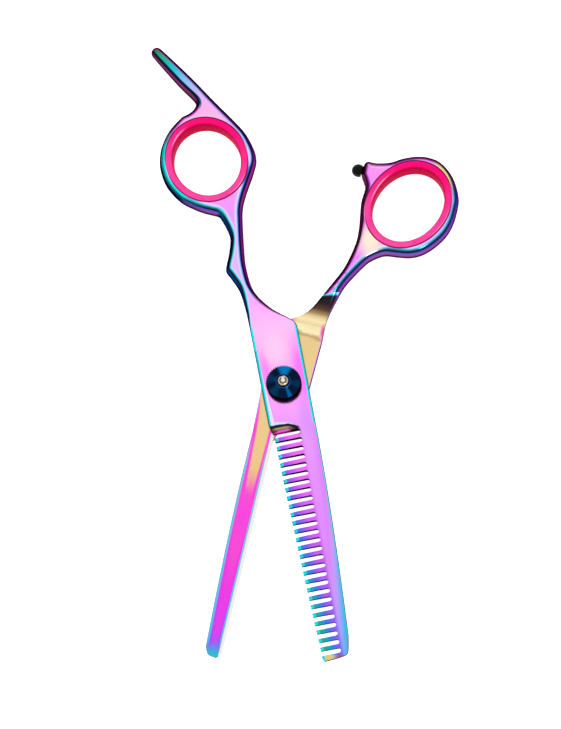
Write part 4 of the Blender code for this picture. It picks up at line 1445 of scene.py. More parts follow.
@dataclass
class PlainHalf(ForgedHalf):
    """The lower half: the right ring, the bumper's boss and the plain blade."""

    tip_thickness: float = 1.3
    edge_thickness: float = 0.25
    edge_bevel: float = 1.6
    hone: Point2 = (0.85, 0.10)
    shaft_bore: float = 2.4
    head_pocket: tuple[float, float, float] = (4.3, 3.7, 1.3)

    def spine(self, y: np.ndarray | float) -> np.ndarray | float:
        """X of the blade's back."""
        return -between(5.2, 2.4, STACK.along_blade(y) ** 1.6)

    def edge(self, y: np.ndarray | float) -> np.ndarray | float:
        """X of the blade's cutting edge."""
        return between(0.5, 2.0, STACK.along_blade(y) ** 0.8)

    def handle(self) -> list[np.ndarray]:
        """The handle, from the plate's right side round to the plate's left shoulder.

        Returns:
            Its points, in order.
        """
        top = self.ring.centre[1] - self.ring.semi[1] - 7.0
        y = [between(STACK.shoulder_y, top, n / 10) for n in range(11)]
        half = STACK.plate_half
        knots = [
            (half + 0.1, STACK.shoulder_y - 2.0),
            (half, y[2] + 1.0),
            (8.1, y[6] + 1.0),
            (9.6, y[8] + 0.7),
            *self.ring.path((-178, 6.0), (-173, 3.3), (-167, 2.0), (-155, 1.7), (-141, 2.1)),
            *self.ring.path((-127, 2.3), (-111, 2.19), (-93, 2.18), (-76, 1.98), (-60, 1.79)),
            *self.ring.path((-45, 1.88), (-27, 1.77), (-12, 1.96), (3, 2.27), (17, 2.18), (30, 1.96)),
            *self.ring.path((44, 1.87), (58, 2.1), (71, 3.9), (77, 5.8), (81, 6.0), (91, 4.5)),
            *self.ring.path((96, 3.0), (102, 1.8), (120, 1.4), (136, 1.3), (152, 2.3), (163, 4.8)),
            (7.2, y[10] - 0.2),
            (5.4, y[8] - 0.8),
            (3.4, y[6] - 1.0),
            (0.3, y[3] - 0.6),
            (-half + 1.1, STACK.shoulder_y + 1.3),
        ]
        return smooth(knots, self.step)

    def outline(self) -> Plan:
        """The half's closed plan outline, anticlockwise.

        Returns:
            The outline's points.
        """
        half, tip, first = STACK.plate_half, -STACK.blade_length, STACK.first_tooth_y
        shoulder = [(-half + 0.35, STACK.shoulder_y + 0.45), (-half, STACK.shoulder_y - 0.6)]
        left = smooth([(-half, 4.0), (-5.7, -5.0), (self.spine(first), first)], self.step)[:-1]
        spine = [(self.spine(y), y) for y in np.linspace(first, tip + 2.0, 150)]
        point = smooth([spine[-1], (-1.5, tip + 0.3), (0.3, tip), (1.4, tip + 0.5)], self.step)[1:]
        edge = [(self.edge(y), y) for y in np.linspace(tip + 1.6, first - 1.5, 150)]
        flare = [(1.0, first + 0.9), (3.4, first + 2.6), (5.6, first + 4.6), (half, first + 8.6)]
        heel = smooth([edge[-1], *flare], self.step)
        loop = [*shoulder, *left, *spine, *point, *edge, *heel[1:], *self.handle()]
        return divided(loop, self.step)

    def height(self, plan: Plan, side: Side) -> np.ndarray:
        """The surface's height before its edges are rounded.

        Args:
            plan: Plan points, one to a row.
            side: Face that is wanted.

        Returns:
            The height at each point.
        """
        x, y = plan[:, 0], plan[:, 1]
        if side is Side.TOP:
            ride = STACK.plain_face + 0.07 * np.clip((y - 15) / 4.5, 0, 1) * (y < 30)
            top = ride + (STACK.comb_roof - ride) * STACK.handle_share(y)
            inset = self.hone[0] - (self.edge(y) - x)
            return top - np.where(y < STACK.first_tooth_y, self.hone[1] * np.clip(inset, 0, None), 0)
        thick = STACK.plain_face - STACK.plain_floor
        taper = eased(0, 1, (-y - 7) / 12) * 0.4 + 0.6 * STACK.along_blade(y)
        floor = STACK.plain_floor + (thick - self.tip_thickness) * taper
        inset = np.clip((self.edge(y) - x) / self.edge_bevel, 0, 1)
        edge = STACK.plain_face - self.edge_thickness
        return np.where(y < STACK.first_tooth_y - 1.0, edge + (floor - edge) * inset, floor)

    def rounding(self, rim: Plan, side: Side) -> tuple[np.ndarray, np.ndarray]:
        """How far in, and how deep, the edge is rounded at each point of the outline.

        Args:
            rim: Points of the outline.
            side: Face that is wanted.

        Returns:
            The width and the depth at each point.
        """
        x, y = rim[:, 0], rim[:, 1]
        blade = y < STACK.shoulder_y + 1
        if side is Side.TOP:
            full = STACK.handle_share(y) ** 0.5
            width = self.micro + (self.handle_round[0] - self.micro) * full
            drop = self.micro + (self.handle_round[1] - self.micro) * full
            outer = blade & (y > STACK.first_tooth_y + 1) | blade & (x < -1)
            width, drop = np.where(outer, 0.22, width), np.where(outer, 0.16, drop)
        else:
            full = np.clip((y - 15) / 13, 0, 1)
            width = eased(self.plate_round[0], self.handle_round[0], full)
            drop = eased(self.plate_round[1], self.handle_round[1], full)
            sharp = blade & (x > 0) & (y < STACK.heel_y)
            width, drop = np.where(sharp, self.micro, width), np.where(sharp, self.micro, drop)
        return width, drop

    def holes(self, side: Side) -> list[Plan]:
        """The ring's hole, with the shaft's bore above and the head's pocket below.

        Args:
            side: Face that is wanted.

        Returns:
            Each hole's outline.
        """
        radius, flat, _ = self.head_pocket
        pivot = circle(self.shaft_bore, 96) if side is Side.TOP else flatted(radius, flat, 96)
        return [self.ring.loop(self.seat, self.ring_sides), pivot]

    def linings(self, levels: dict[Side, Callable[[Plan], np.ndarray]]) -> list[list[np.ndarray]]:
        """The walls inside the holes, as loops from the bottom face to the top one.

        Args:
            levels: For each face, its height over any plan points.

        Returns:
            The loops of each lining.
        """
        radius, flat, roof = self.head_pocket
        pocket, bore = flatted(radius, flat, 96), circle(self.shaft_bore, 96)
        bores = [
            lifted(pocket, levels[Side.BOTTOM](pocket)),
            lifted(pocket, roof),
            lifted(bore, roof),
            lifted(bore, levels[Side.TOP](bore)),
        ]
        return [self.ring_lining(levels), bores]

    def spread(self) -> Plan:
        """Further plan points: fine along the hone and the ramp, coarse elsewhere.

        Returns:
            The points.
        """
        blade = grid((-5.5, 2.4), (-STACK.blade_length, -8), 0.34)
        plate = grid((-6.4, 6.4), (-8, 14), 0.7)
        hone = grid((-0.8, 2.4), (-STACK.blade_length, STACK.first_tooth_y), 0.29)
        ramp = grid((-8, 16), (14, 32), 0.6)
        handle = grid((-4, 40), (32, 80), 0.9)
        return np.concatenate([blade, plate, hone, ramp, handle])

    def masks(self, plan: Plan) -> dict[str, np.ndarray]:
        """The honed strip along the cutting edge is bare, and colour runs ahead at both edges.

        Args:
            plan: Plan points, one to a row.

        Returns:
            Each mask's values.
        """
        x, y = plan[:, 0], plan[:, 1]
        depth = self.edge(y) - x
        bare = eased(1, 0, (depth - self.hone[0] + 0.1) / 0.2) * (y < STACK.first_tooth_y + 0.5)
        spine = self.spine(y) - 0.055 * np.clip(y - STACK.first_tooth_y, 0, None)
        inward = np.minimum((x - spine) / 1.7, (depth - self.hone[0] + 0.1) / 1.3)
        blade = np.clip(-y / 6, 0, 1)
        return {"bare": bare, "rim": 1 - (1 - np.clip(inward, 0, 1)) * blade}


# ---------------------------------------------------------------- the smaller pieces


@dataclass
class FingerInsert:
    """A soft lining that snaps into a finger ring, with a lip over each face."""

    name: str
    body: str
    turn: float
    ring: Ring
    wall: float = 2.0
    proud: float = 0.3
    lip_depth: float = 1.0
    groove: float = 0.6
    inner_round: float = 1.25
    soft: float = 0.55
    sides: int = 200

    def section(self) -> list[Point2]:
        """The lining's section: distance outside the ring's ellipse, and height.

        Returns:
            Its points, in order.
        """
        floor, roof = STACK.plain_floor - self.proud, STACK.comb_roof + self.proud
        low, high = STACK.plain_floor + self.lip_depth, STACK.comb_roof - self.lip_depth
        outer, inner = self.soft, self.inner_round
        points = self.quarter((-outer, floor + outer), outer, 270, 6)
        points += [(0, low), (-self.groove, low), (-self.groove, high), (0, high)]
        points += self.quarter((-outer, roof - outer), outer, 0, 6)
        points += self.quarter((inner - self.wall, roof - inner), inner, 90, 8)
        points += self.quarter((inner - self.wall, floor + inner), inner, 180, 8)
        return points

    def quarter(self, centre: Point2, radius: float, start: float, steps: int) -> list[Point2]:
        """A quarter of a circle, anticlockwise.

        Args:
            centre: Its centre, as distance outside the ellipse and height.
            radius: Its radius.
            start: Degrees where it starts.
            steps: Number of sides it is made of.

        Returns:
            Its points, both ends among them.
        """
        turns = [math.radians(between(start, start + 90, n / steps)) for n in range(steps + 1)]
        return [(centre[0] + radius * math.cos(turn), centre[1] + radius * math.sin(turn)) for turn in turns]

    def build(self, finish: bpy.types.Material) -> bpy.types.Object:
        """Builds the lining and puts it in its ring.

        Args:
            finish: Material for the piece.

        Returns:
            The finished piece.
        """
        skin = Skin()
        skin.band([lifted(self.ring.loop(out, self.sides), z) for out, z in self.section()], closed=True)
        piece = skin.piece(self.name, 40.0, self.turn)
        piece.data.materials.append(finish)
        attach(piece, self.body)
        LOG.info("%s: %d faces", self.name, len(piece.data.polygons))
        return piece


@dataclass
class Bumper:
    """The rubber ball that stops the rings, with a stem in the boss's hole."""

    turn: float
    radius: float = 1.8
    stem: Point2 = (0.8, 2.2)
    angle: float = 88.6
    out: float = 6.15
    heading: float = 85.0
    foot: float = 1.0
    sides: int = 11
    rows: int = 7

    def build(self, finish: bpy.types.Material) -> bpy.types.Object:
        """Builds the ball, moulded in flat facets, with its flat foot.

        Args:
            finish: Material for the piece.

        Returns:
            The finished piece.
        """
        ball = np.array(RIGHT_RING.point(self.angle, self.out))
        heading = math.radians(self.heading)
        out = np.array((-math.sin(heading), math.cos(heading)))
        side = np.array((-out[1], out[0]))
        steps = [(self.stem[0], -self.stem[1]), (self.stem[0], -self.foot)]
        first = math.degrees(math.acos(self.foot / self.radius))
        for n in range(self.rows):
            turn = math.radians(between(first, 168, n / (self.rows - 1)))
            steps.append((self.radius * math.sin(turn), -self.radius * math.cos(turn)))
        skin = Skin()
        loops = []
        for radius, station in steps:
            turns = np.arange(self.sides) * 2 * math.pi / self.sides
            plan = ball + out * station + side * (radius * np.cos(turns))[:, None]
            loops.append(lifted(plan, STACK.middle + radius * np.sin(turns)))
        skin.band(loops)
        for loop in (loops[0], loops[-1]):
            skin.cap(loop, tuple(loop.mean(0)))
        piece = skin.piece("bumper_ball", 12.0, self.turn)
        piece.data.materials.append(finish)
        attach(piece, "plain_side")
        LOG.info("bumper_ball: %d faces", len(piece.data.polygons))
        return piece


@dataclass
class PivotBolt:
    """The bolt: a keyed flat head, a round shaft, a neck with two flats, and a domed thread."""

    turn: float
    head: tuple[float, float, float] = (4.1, 3.5, 1.2)
    chamfer: float = 0.2
    shaft: float = 2.3
    neck: Point2 = (1.8, 1.45)
    thread: float = 1.4
    bush_roof: float = 6.6
    neck_top: float = 7.675
    stud_top: float = 10.225
    dome: float = 0.73
    sides: int = 96

    def build(self, finish: bpy.types.Material) -> bpy.types.Object:
        """Builds the bolt.

        Args:
            finish: Material for the piece.

        Returns:
            The finished piece.
        """
        radius, flat, thick = self.head
        n = self.sides
        loops = [
            lifted(flatted(radius - self.chamfer, flat - self.chamfer, n), 0),
            lifted(flatted(radius - 0.05, flat - 0.05, n), self.chamfer - 0.05),
            lifted(flatted(radius, flat, n), self.chamfer + 0.05),
            lifted(flatted(radius, flat, n), thick),
            lifted(circle(self.shaft, n), thick),
            lifted(circle(self.shaft, n), self.bush_roof),
            lifted(flatted(*self.neck, n), self.bush_roof),
            lifted(flatted(*self.neck, n), self.neck_top),
            lifted(circle(self.thread - 0.1, n), self.neck_top),
        ]
        pitches = 5
        start, end = self.neck_top + 0.1, self.stud_top - 0.1
        for step in range(pitches * 4 + 1):
            z = between(start, end, step / (pitches * 4))
            loops.append(lifted(circle(self.thread - (0.1 if step % 4 == 0 else 0.0), n), z))
        loops.append(lifted(circle(self.thread - 0.02, n), self.stud_top))
        for turn in range(8, 90, 7):
            angle = math.radians(turn)
            ring = circle(self.thread * math.cos(angle), n)
            loops.append(lifted(ring, self.stud_top + self.dome * math.sin(angle)))
        skin = Skin()
        skin.band(loops)
        skin.cap(loops[0], (0, 0, 0))
        skin.cap(loops[-1], (0, 0, self.stud_top + self.dome - 0.002))
        piece = skin.piece("bolt_with_dome", 34.0, self.turn)
        piece.data.materials.append(finish)
        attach(piece, "plain_side")
        LOG.info("bolt_with_dome: %d faces", len(piece.data.polygons))
        return piece


@dataclass
class TensionDial:
    """The knurled dial: a cone with a raised collar over a deep toothed rim."""

    radius: float = 4.6
    floor: float = 6.425
    rim_height: float = 2.7
    cone_rise: float = 0.9
    collar: Point2 = (1.9, 0.2)
    teeth: int = 44
    knurl: float = 0.5
    skirt: float = 0.35
    pocket_roof: float = 7.9
    bore: float = 1.5

    def knurled(self, z: float, depth: float, inset: float = 0.0) -> np.ndarray:
        """The toothed rim at one height, its teeth of a given depth.

        Args:
            z: Height of the loop.
            depth: Depth of the teeth.
            inset: How far the whole loop is drawn in.

        Returns:
            The loop's points.
        """
        sides = self.teeth * 8
        turn = np.arange(sides) * 2 * math.pi / sides
        wave = (0.5 + 0.5 * np.cos(turn * self.teeth)) ** 0.8 * depth
        radius = self.radius - inset - wave
        return np.stack([radius * np.cos(turn), radius * np.sin(turn), np.full(sides, z)], 1)

    def build(self, finish: bpy.types.Material) -> bpy.types.Object:
        """Builds the dial.

        Args:
            finish: Material for the piece.

        Returns:
            The finished piece.
        """
        sides = self.teeth * 8
        shoulder = self.floor + self.rim_height
        top = shoulder + self.cone_rise
        pocket = self.radius - self.skirt - self.knurl
        face = self.radius - self.knurl - 0.06
        ring, rise = self.collar
        loops = [
            lifted(circle(pocket, sides), self.floor),
            self.knurled(self.floor, 0.0, self.knurl + 0.12),
            self.knurled(self.floor + 0.16, self.knurl * 0.8, 0.05),
            self.knurled(self.floor + 0.28, self.knurl),
            self.knurled(shoulder - 0.26, self.knurl),
            self.knurled(shoulder - 0.1, self.knurl * 0.85, 0.03),
            self.knurled(shoulder - 0.03, self.knurl * 0.6, 0.12),
            lifted(circle(face, sides), shoulder + 0.01),
        ]
        for share in (0.03, 0.25, 0.5, 0.75, 0.97):
            cone = circle(between(face, ring + 0.05, share), sides)
            loops.append(lifted(cone, between(shoulder + 0.01, top - 0.02, share)))
        loops += [
            lifted(circle(ring + 0.02, sides), top),
            lifted(circle(ring - 0.03, sides), top + rise * 0.75),
            lifted(circle(ring - 0.1, sides), top + rise),
            lifted(circle(self.bore + 0.06, sides), top + rise),
            lifted(circle(self.bore, sides), top + rise - 0.06),
            lifted(circle(self.bore, sides), self.pocket_roof),
            lifted(circle(pocket, sides), self.pocket_roof),
        ]
        skin = Skin()
        skin.band(loops, closed=True)
        piece = skin.piece("knurled_dial", 30.0)
        piece.data.materials.append(finish)
        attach(piece, "dial_side")
        LOG.info("knurled_dial: %d faces", len(piece.data.polygons))
        return piece


@dataclass
class HiddenHardware:
    """The washers and the bush inside the pivot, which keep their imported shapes."""

    nodes: dict[str, str] = field(default_factory=lambda: {
        "blade_washer": "nylon",
        "pivot_bush": "nylon",
        "spring_washer": "spring",
        "click_plate": "spring",
    })

    def dress(self, finishes: dict[str, bpy.types.Material]) -> None:
        """Gives each its finish.

        Args:
            finishes: Materials by name.
        """
        for name, finish in self.nodes.items():
            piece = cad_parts[name]
            for slot in piece.material_slots:
                slot.material = finishes[finish]
            LOG.info("%s dressed in %s", name, finish)


# ---------------------------------------------------------------- the studio


@dataclass
class Studio:
    """A pale floor, a camera, and soft light from a large overhead panel inside dark walls."""

    lean: Point2 = (3.8, 15.0)
    aim: Point3 = (-0.905, 4.988, 7.797)
    distance: float = 650.0
    lens: float = 123.93
    floor_half: float = 3.0
    floor_drop: float = 0.05
    floor_glow: float = 0.75
    backdrop: Colour = (0.93, 0.93, 0.94)
    dome: tuple[Point2, ...] = (
        (0.0, 0.03),
        (0.05, 0.08),
        (0.13, 0.42),
        (0.2, 0.7),
        (0.42, 0.94),
        (0.66, 1.0),
        (0.82, 1.08),
        (1.0, 1.1),
    )

    def camera(self) -> None:
        """The camera, which leans towards the blades' side of the vertical."""
        across, along = (math.tan(math.radians(angle)) for angle in self.lean)
        back = Vector((across, -along, 1.0)).normalized()
        right = (Vector((1, 0, 0)) - back * back.x).normalized()
        up = back.cross(right)
        lens = bpy.data.cameras.new("camera")
        lens.lens = self.lens
        lens.sensor_width = 36.0
        lens.clip_start, lens.clip_end = 0.05, 20.0
        eye = bpy.data.objects.new("camera", lens)
        turn = Matrix((right, up, back)).transposed().to_4x4()
        eye.matrix_world = Matrix.Translation((Vector(self.aim) + back * self.distance) * MM) @ turn
        bpy.context.scene.collection.objects.link(eye)
        bpy.context.scene.camera = eye

    def floor(self) -> None:
        """The floor, a plain white sheet."""
        half = self.floor_half
        mesh = bpy.data.meshes.new("floor")
        corners = [(-half, -half, 0), (half, -half, 0), (half, half, 0), (-half, half, 0)]
        mesh.from_pydata(corners, [], [(0, 1, 2, 3)])
        sheet = bpy.data.objects.new("floor", mesh)
        sheet.location.z = -self.floor_drop * MM
        bpy.context.scene.collection.objects.link(sheet)
        s = Shade("white_sheet")
        s.set(base_color=(0.9, 0.9, 0.9), roughness=0.9, emission_color=(1.0, 1.0, 1.0))
        s.shader.inputs["Emission Strength"].default_value = self.floor_glow
        mesh.materials.append(s.material)

    def panel(self, name: str, place: Point3, size: float, power: float, mirrored: bool) -> None:
        """A soft light panel that faces the shears, and that polished metal may mirror.

        Args:
            name: Name of the light.
            place: Position, in metres.
            size: Width, in metres.
            power: Strength, in watts.
            mirrored: Whether polished metal shows it.
        """
        light = bpy.data.lights.new(name, "AREA")
        light.shape = "DISK"
        light.size = size
        light.energy = power
        lamp = bpy.data.objects.new(name, light)
        lamp.location = place
        lamp.rotation_mode = "QUATERNION"
        lamp.rotation_quaternion = Vector(place).to_track_quat("Z", "Y")
        lamp.visible_glossy = mirrored
        bpy.context.scene.collection.objects.link(lamp)

    def world(self) -> None:
        """The room: bright overhead, dark round the horizon."""
        room = bpy.data.worlds.new("studio")
        bpy.context.scene.world = room
        room.use_nodes = True
        nodes, links = room.node_tree.nodes, room.node_tree.links
        backdrop = nodes["Background"]
        place = nodes.new("ShaderNodeTexCoord")
        split = nodes.new("ShaderNodeSeparateXYZ")
        links.new(place.outputs["Generated"], split.inputs[0])
        ramp = nodes.new("ShaderNodeValToRGB")
        elements = ramp.color_ramp.elements
        while len(elements) < len(self.dome):
            elements.new(0.5)
        for element, (at, value) in zip(elements, self.dome):
            element.position = at
            element.color = (value, value, value, 1.0)
        links.new(split.outputs[2], ramp.inputs[0])
        seen = nodes.new("ShaderNodeMix")
        seen.data_type = "RGBA"
        path = nodes.new("ShaderNodeLightPath")
        links.new(path.outputs["Is Camera Ray"], seen.inputs["Factor"])
        links.new(ramp.outputs["Color"], seen.inputs[6])
        seen.inputs[7].default_value = (*self.backdrop, 1.0)
        links.new(seen.outputs[2], backdrop.inputs["Color"])

    def build(self) -> None:
        """Sets up the camera, the floor and the lights."""
        self.camera()
        self.floor()
        self.world()
        self.panel("upper_left_panel", (-0.5, 0.35, 0.7), 0.4, 2.0, False)
        self.panel("lower_right_panel", (0.42, -0.5, 0.5), 0.2, 0.8, True)
        view = bpy.context.scene.view_settings
        view.view_transform = "Standard"
        view.look = "None"


# ---------------------------------------------------------------- the shears


PINK = srgb(252, 176, 232)
LILAC = srgb(226, 160, 250)
TEAL = srgb(10, 120, 140)
NAVY = srgb(14, 30, 70)
BROWN = srgb(100, 78, 74)
BLACK = srgb(10, 8, 14)
GOLD = srgb(228, 198, 138)

# Colours by how far a surface leans, for each way it faces. Besides the coating's own colour they hold
# painted reflections: the black and near-black stops are the dark room mirrored in steep metal, the palest
# ones are mirrored lamps.
UPPER_TILT = (
    (0.0, PINK),
    (0.12, srgb(250, 170, 240)),
    (0.24, srgb(226, 90, 224)),
    (0.36, srgb(130, 34, 120)),
    (0.48, srgb(54, 16, 44)),
    (0.7, srgb(96, 70, 66)),
    (1.0, BROWN),
)
LOWER_TILT = (
    (0.0, LILAC),
    (0.08, srgb(228, 190, 250)),
    (0.16, srgb(216, 216, 252)),
    (0.26, srgb(140, 190, 246)),
    (0.35, srgb(20, 150, 170)),
    (0.46, srgb(6, 40, 60)),
    (0.54, srgb(12, 20, 50)),
    (0.64, srgb(60, 60, 150)),
    (0.8, srgb(120, 60, 130)),
    (1.0, BROWN),
)
COMB_LEFT_TILT = (
    (0.0, LILAC),
    (0.05, srgb(236, 110, 240)),
    (0.1, srgb(226, 208, 252)),
    (0.16, srgb(224, 230, 255)),
    (0.195, srgb(110, 116, 240)),
    (0.23, srgb(10, 226, 246)),
    (0.3, srgb(0, 238, 250)),
    (0.4, srgb(0, 222, 226)),
    (0.48, srgb(6, 156, 160)),
    (0.57, srgb(4, 84, 96)),
    (0.65, BLACK),
    (0.76, srgb(10, 44, 66)),
    (0.86, srgb(50, 40, 96)),
    (0.94, srgb(80, 60, 80)),
    (1.0, BROWN),
)
TANG_LEFT_TILT = (
    (0.0, srgb(0, 130, 130)),
    (0.3, srgb(0, 110, 120)),
    (0.38, srgb(4, 24, 34)),
    (0.5, BLACK),
    (0.58, srgb(30, 10, 40)),
    (0.66, srgb(96, 34, 100)),
    (0.8, srgb(110, 66, 84)),
    (1.0, BROWN),
)
COMB_SHANK_LEFT_TILT = (
    (0.0, LILAC),
    (0.1, srgb(222, 190, 252)),
    (0.2, srgb(200, 214, 254)),
    (0.28, srgb(90, 220, 250)),
    (0.36, srgb(8, 160, 176)),
    (0.43, srgb(4, 60, 80)),
    (0.5, BLACK),
    (0.6, srgb(6, 30, 60)),
    (0.72, srgb(8, 66, 112)),
    (0.84, srgb(20, 60, 110)),
    (0.93, srgb(70, 50, 110)),
    (1.0, BROWN),
)
COMB_RIGHT_TILT = (
    (0.0, PINK),
    (0.08, srgb(236, 160, 250)),
    (0.17, srgb(214, 216, 255)),
    (0.3, srgb(186, 208, 255)),
    (0.39, srgb(70, 110, 240)),
    (0.47, NAVY),
    (0.56, BLACK),
    (0.64, srgb(90, 30, 110)),
    (0.76, srgb(130, 50, 116)),
    (0.9, srgb(116, 72, 84)),
    (1.0, BROWN),
)
PLAIN_LEFT_TILT = (
    (0.0, PINK),
    (0.08, srgb(246, 130, 240)),
    (0.2, srgb(222, 150, 252)),
    (0.28, srgb(230, 90, 226)),
    (0.38, srgb(150, 40, 150)),
    (0.48, srgb(70, 14, 60)),
    (0.58, srgb(40, 8, 34)),
    (0.76, srgb(120, 60, 90)),
    (1.0, BROWN),
)
PLAIN_RIGHT_TILT = (
    (0.0, PINK),
    (0.07, srgb(246, 130, 240)),
    (0.16, srgb(214, 180, 252)),
    (0.26, srgb(150, 190, 252)),
    (0.36, srgb(20, 150, 206)),
    (0.45, srgb(8, 60, 110)),
    (0.54, BLACK),
    (0.64, srgb(50, 40, 130)),
    (0.76, srgb(126, 60, 150)),
    (1.0, srgb(110, 74, 88)),
)
# Painted shade on the blade's steep walls, teal fading to black.
BLADE_WALL_SHADE = ((0.0, TEAL), (0.6, srgb(0, 90, 100)), (0.75, srgb(4, 40, 52)), (1.0, BLACK))

# The hollow at the heel: painted reflections, tan and gold, between painted shade, black at the plate's edge
# and dark at both sides.
HEEL_COVE = Cove(
    ends=(-12.3, -10.2),
    tones=(
        (-12.3, srgb(240, 90, 220)),
        (-11.9, srgb(226, 60, 170)),
        (-11.55, srgb(90, 24, 56)),
        (-11.25, srgb(140, 100, 70)),
        (-10.95, srgb(190, 156, 106)),
        (-10.7, srgb(104, 80, 54)),
        (-10.5, srgb(20, 14, 14)),
        (-10.2, BLACK),
    ),
    shade=srgb(30, 8, 22),
    dark=((-5.7, -4.0), (1.0, -2.0)),
    tilted=True,
    slope=0.03,
    curl=0.38,
)
# The hollow ramp up to the handle: a pale gold painted reflection at its foot, painted shade, near black, up
# its face, and a painted cyan highlight at its top.
RAMP_COVE = Cove(
    ends=(18.0, 28.4),
    tones=(
        (18.0, srgb(226, 204, 150)),
        (19.4, srgb(240, 224, 174)),
        (20.4, srgb(222, 200, 146)),
        (21.4, srgb(160, 132, 88)),
        (22.6, srgb(84, 54, 42)),
        (24.2, srgb(32, 14, 22)),
        (26.2, srgb(10, 4, 10)),
        (27.3, srgb(10, 8, 16)),
        (27.6, srgb(8, 60, 90)),
        (27.9, srgb(10, 190, 220)),
        (28.4, srgb(150, 226, 250)),
    ),
    shade=srgb(40, 12, 50),
    dark=((-20.0, -19.0), (19.0, 18.0)),
    tilted=False,
    tongue=(0.42, 8.6),
)
COMB_COATING = RainbowCoating(
    name="rainbow_coated_comb_half",
    along=(
        (-118, srgb(60, 170, 150)),
        (-98, srgb(50, 165, 200)),
        (-84, srgb(96, 170, 232)),
        (-73, srgb(146, 160, 240)),
        (-62, srgb(188, 150, 240)),
        (-48, srgb(212, 130, 240)),
        (-30, srgb(220, 138, 250)),
        (-12, srgb(226, 150, 252)),
        (-4, srgb(248, 160, 244)),
        (8, PINK),
        (16, srgb(253, 186, 240)),
        (26, srgb(240, 160, 248)),
        (36, srgb(206, 186, 252)),
        (46, srgb(234, 146, 248)),
        (55, srgb(240, 150, 245)),
        (76, srgb(253, 184, 226)),
        (80.5, srgb(252, 172, 232)),
        (84, srgb(206, 180, 250)),
        (88, srgb(130, 186, 246)),
        (93, srgb(20, 190, 214)),
        (97, srgb(30, 170, 120)),
        (99, srgb(50, 120, 60)),
    ),
    left=COMB_LEFT_TILT,
    shank_left=COMB_SHANK_LEFT_TILT,
    tang_left=TANG_LEFT_TILT,
    right=COMB_RIGHT_TILT,
    upper=UPPER_TILT,
    lower=LOWER_TILT,
    blade_walls=BLADE_WALL_SHADE,
    cove=HEEL_COVE,
    rim_shift=60.0,
    rim_colour=srgb(8, 222, 240),
    rim_band=(0.24, 0.17),
    # A painted dark reflection lines the comb's outer edges.
    rim_dark_reflection=0.85,
    teeth=(
        (-118, srgb(60, 160, 90)),
        (-106, srgb(26, 160, 130)),
        (-94, srgb(16, 150, 196)),
        (-83, srgb(44, 120, 222)),
        (-72, srgb(96, 96, 240)),
        (-60, srgb(150, 86, 240)),
        (-44, srgb(196, 84, 240)),
        (-28, srgb(220, 96, 244)),
        (-12, srgb(240, 104, 238)),
    ),
    patches=(
        ((4.8, 3.0), (2.8, 13.0), 0.8, srgb(246, 100, 246)),
        ((-4.0, 4.0), (1.8, 9.0), 0.6, srgb(240, 100, 240)),
        ((-0.6, 10.0), (4.4, 7.0), 0.7, srgb(254, 204, 240)),
        ((4.0, -9.0), (2.8, 8.0), 0.6, srgb(206, 140, 254)),
        ((-1.8, -71.9), (3.0, 1.7), 0.95, srgb(226, 196, 110)),
        ((1.2, -72.0), (2.2, 1.1), 0.8, srgb(180, 70, 90)),
    ),
)
PLAIN_COATING = RainbowCoating(
    name="rainbow_coated_plain_half",
    along=(
        (-112, srgb(50, 120, 232)),
        (-94, srgb(110, 84, 238)),
        (-80, srgb(176, 62, 234)),
        (-66, srgb(216, 54, 226)),
        (-56, srgb(228, 50, 218)),
        (-46, srgb(238, 66, 200)),
        (-36, srgb(240, 60, 214)),
        (-29.5, srgb(240, 70, 200)),
        (-26.5, srgb(234, 140, 160)),
        (-22.5, srgb(230, 190, 130)),
        (-5, GOLD),
        (14.5, srgb(226, 196, 136)),
        (15.2, srgb(150, 118, 70)),
        (15.7, srgb(246, 232, 184)),
        (20, srgb(225, 205, 150)),
        (31, srgb(190, 150, 240)),
        (37, srgb(214, 120, 240)),
        (46, srgb(240, 160, 240)),
        (58, srgb(244, 136, 236)),
        (72, srgb(250, 156, 232)),
    ),
    left=PLAIN_LEFT_TILT,
    right=PLAIN_RIGHT_TILT,
    upper=UPPER_TILT,
    lower=LOWER_TILT,
    blade_walls=BLADE_WALL_SHADE,
    cove=RAMP_COVE,
    patches=(
        ((-0.4, -73.4), (5.5, 9.0), 0.9, srgb(110, 90, 236)),
        ((-0.4, -73.6), (5.5, 6.0), 1.0, srgb(30, 150, 226)),
        ((-0.4, -73.6), (5.5, 4.2), 1.0, srgb(10, 196, 178)),
        ((27.2, 66.0), (5.0, 8.5), 1.0, srgb(244, 222, 150)),
        ((12.4, 43.7), (5.0, 7.5), 1.0, srgb(252, 230, 206)),
        ((7.5, 67.0), (5.0, 4.5), 0.6, srgb(252, 190, 225)),
        ((6.0, 17.0), (1.2, 3.0), 0.9, srgb(226, 40, 170)),
        ((-4.2, 18.3), (3.4, 1.5), 0.95, srgb(240, 80, 196)),
    ),
    rim_shift=30.0,
    rim_colour=srgb(16, 200, 224),
    rim_band=(0.5, 0.24),
    rim_from=(-13.0, -24.0),
    grain=0.9,
)

# The bolt's colours by tilt: painted reflections, a pale centre, black crescents and a gold ring on the
# dome.
DOME_REFLECTION_TONES = (
    (0.0, srgb(206, 200, 194)),
    (0.06, srgb(240, 238, 234)),
    (0.11, srgb(226, 216, 206)),
    (0.16, srgb(20, 16, 18)),
    (0.27, srgb(40, 32, 32)),
    (0.33, srgb(206, 182, 150)),
    (0.46, srgb(236, 218, 190)),
    (0.56, srgb(70, 56, 48)),
    (1.0, srgb(50, 40, 36)),
)
# Painted highlights on the bolt's dome, a bright one towards +Y and a duller one opposite.
DOME_HIGHLIGHT_FANS = ((-6.0, 42.0, srgb(226, 222, 216)), (178.0, 22.0, srgb(150, 132, 116)))
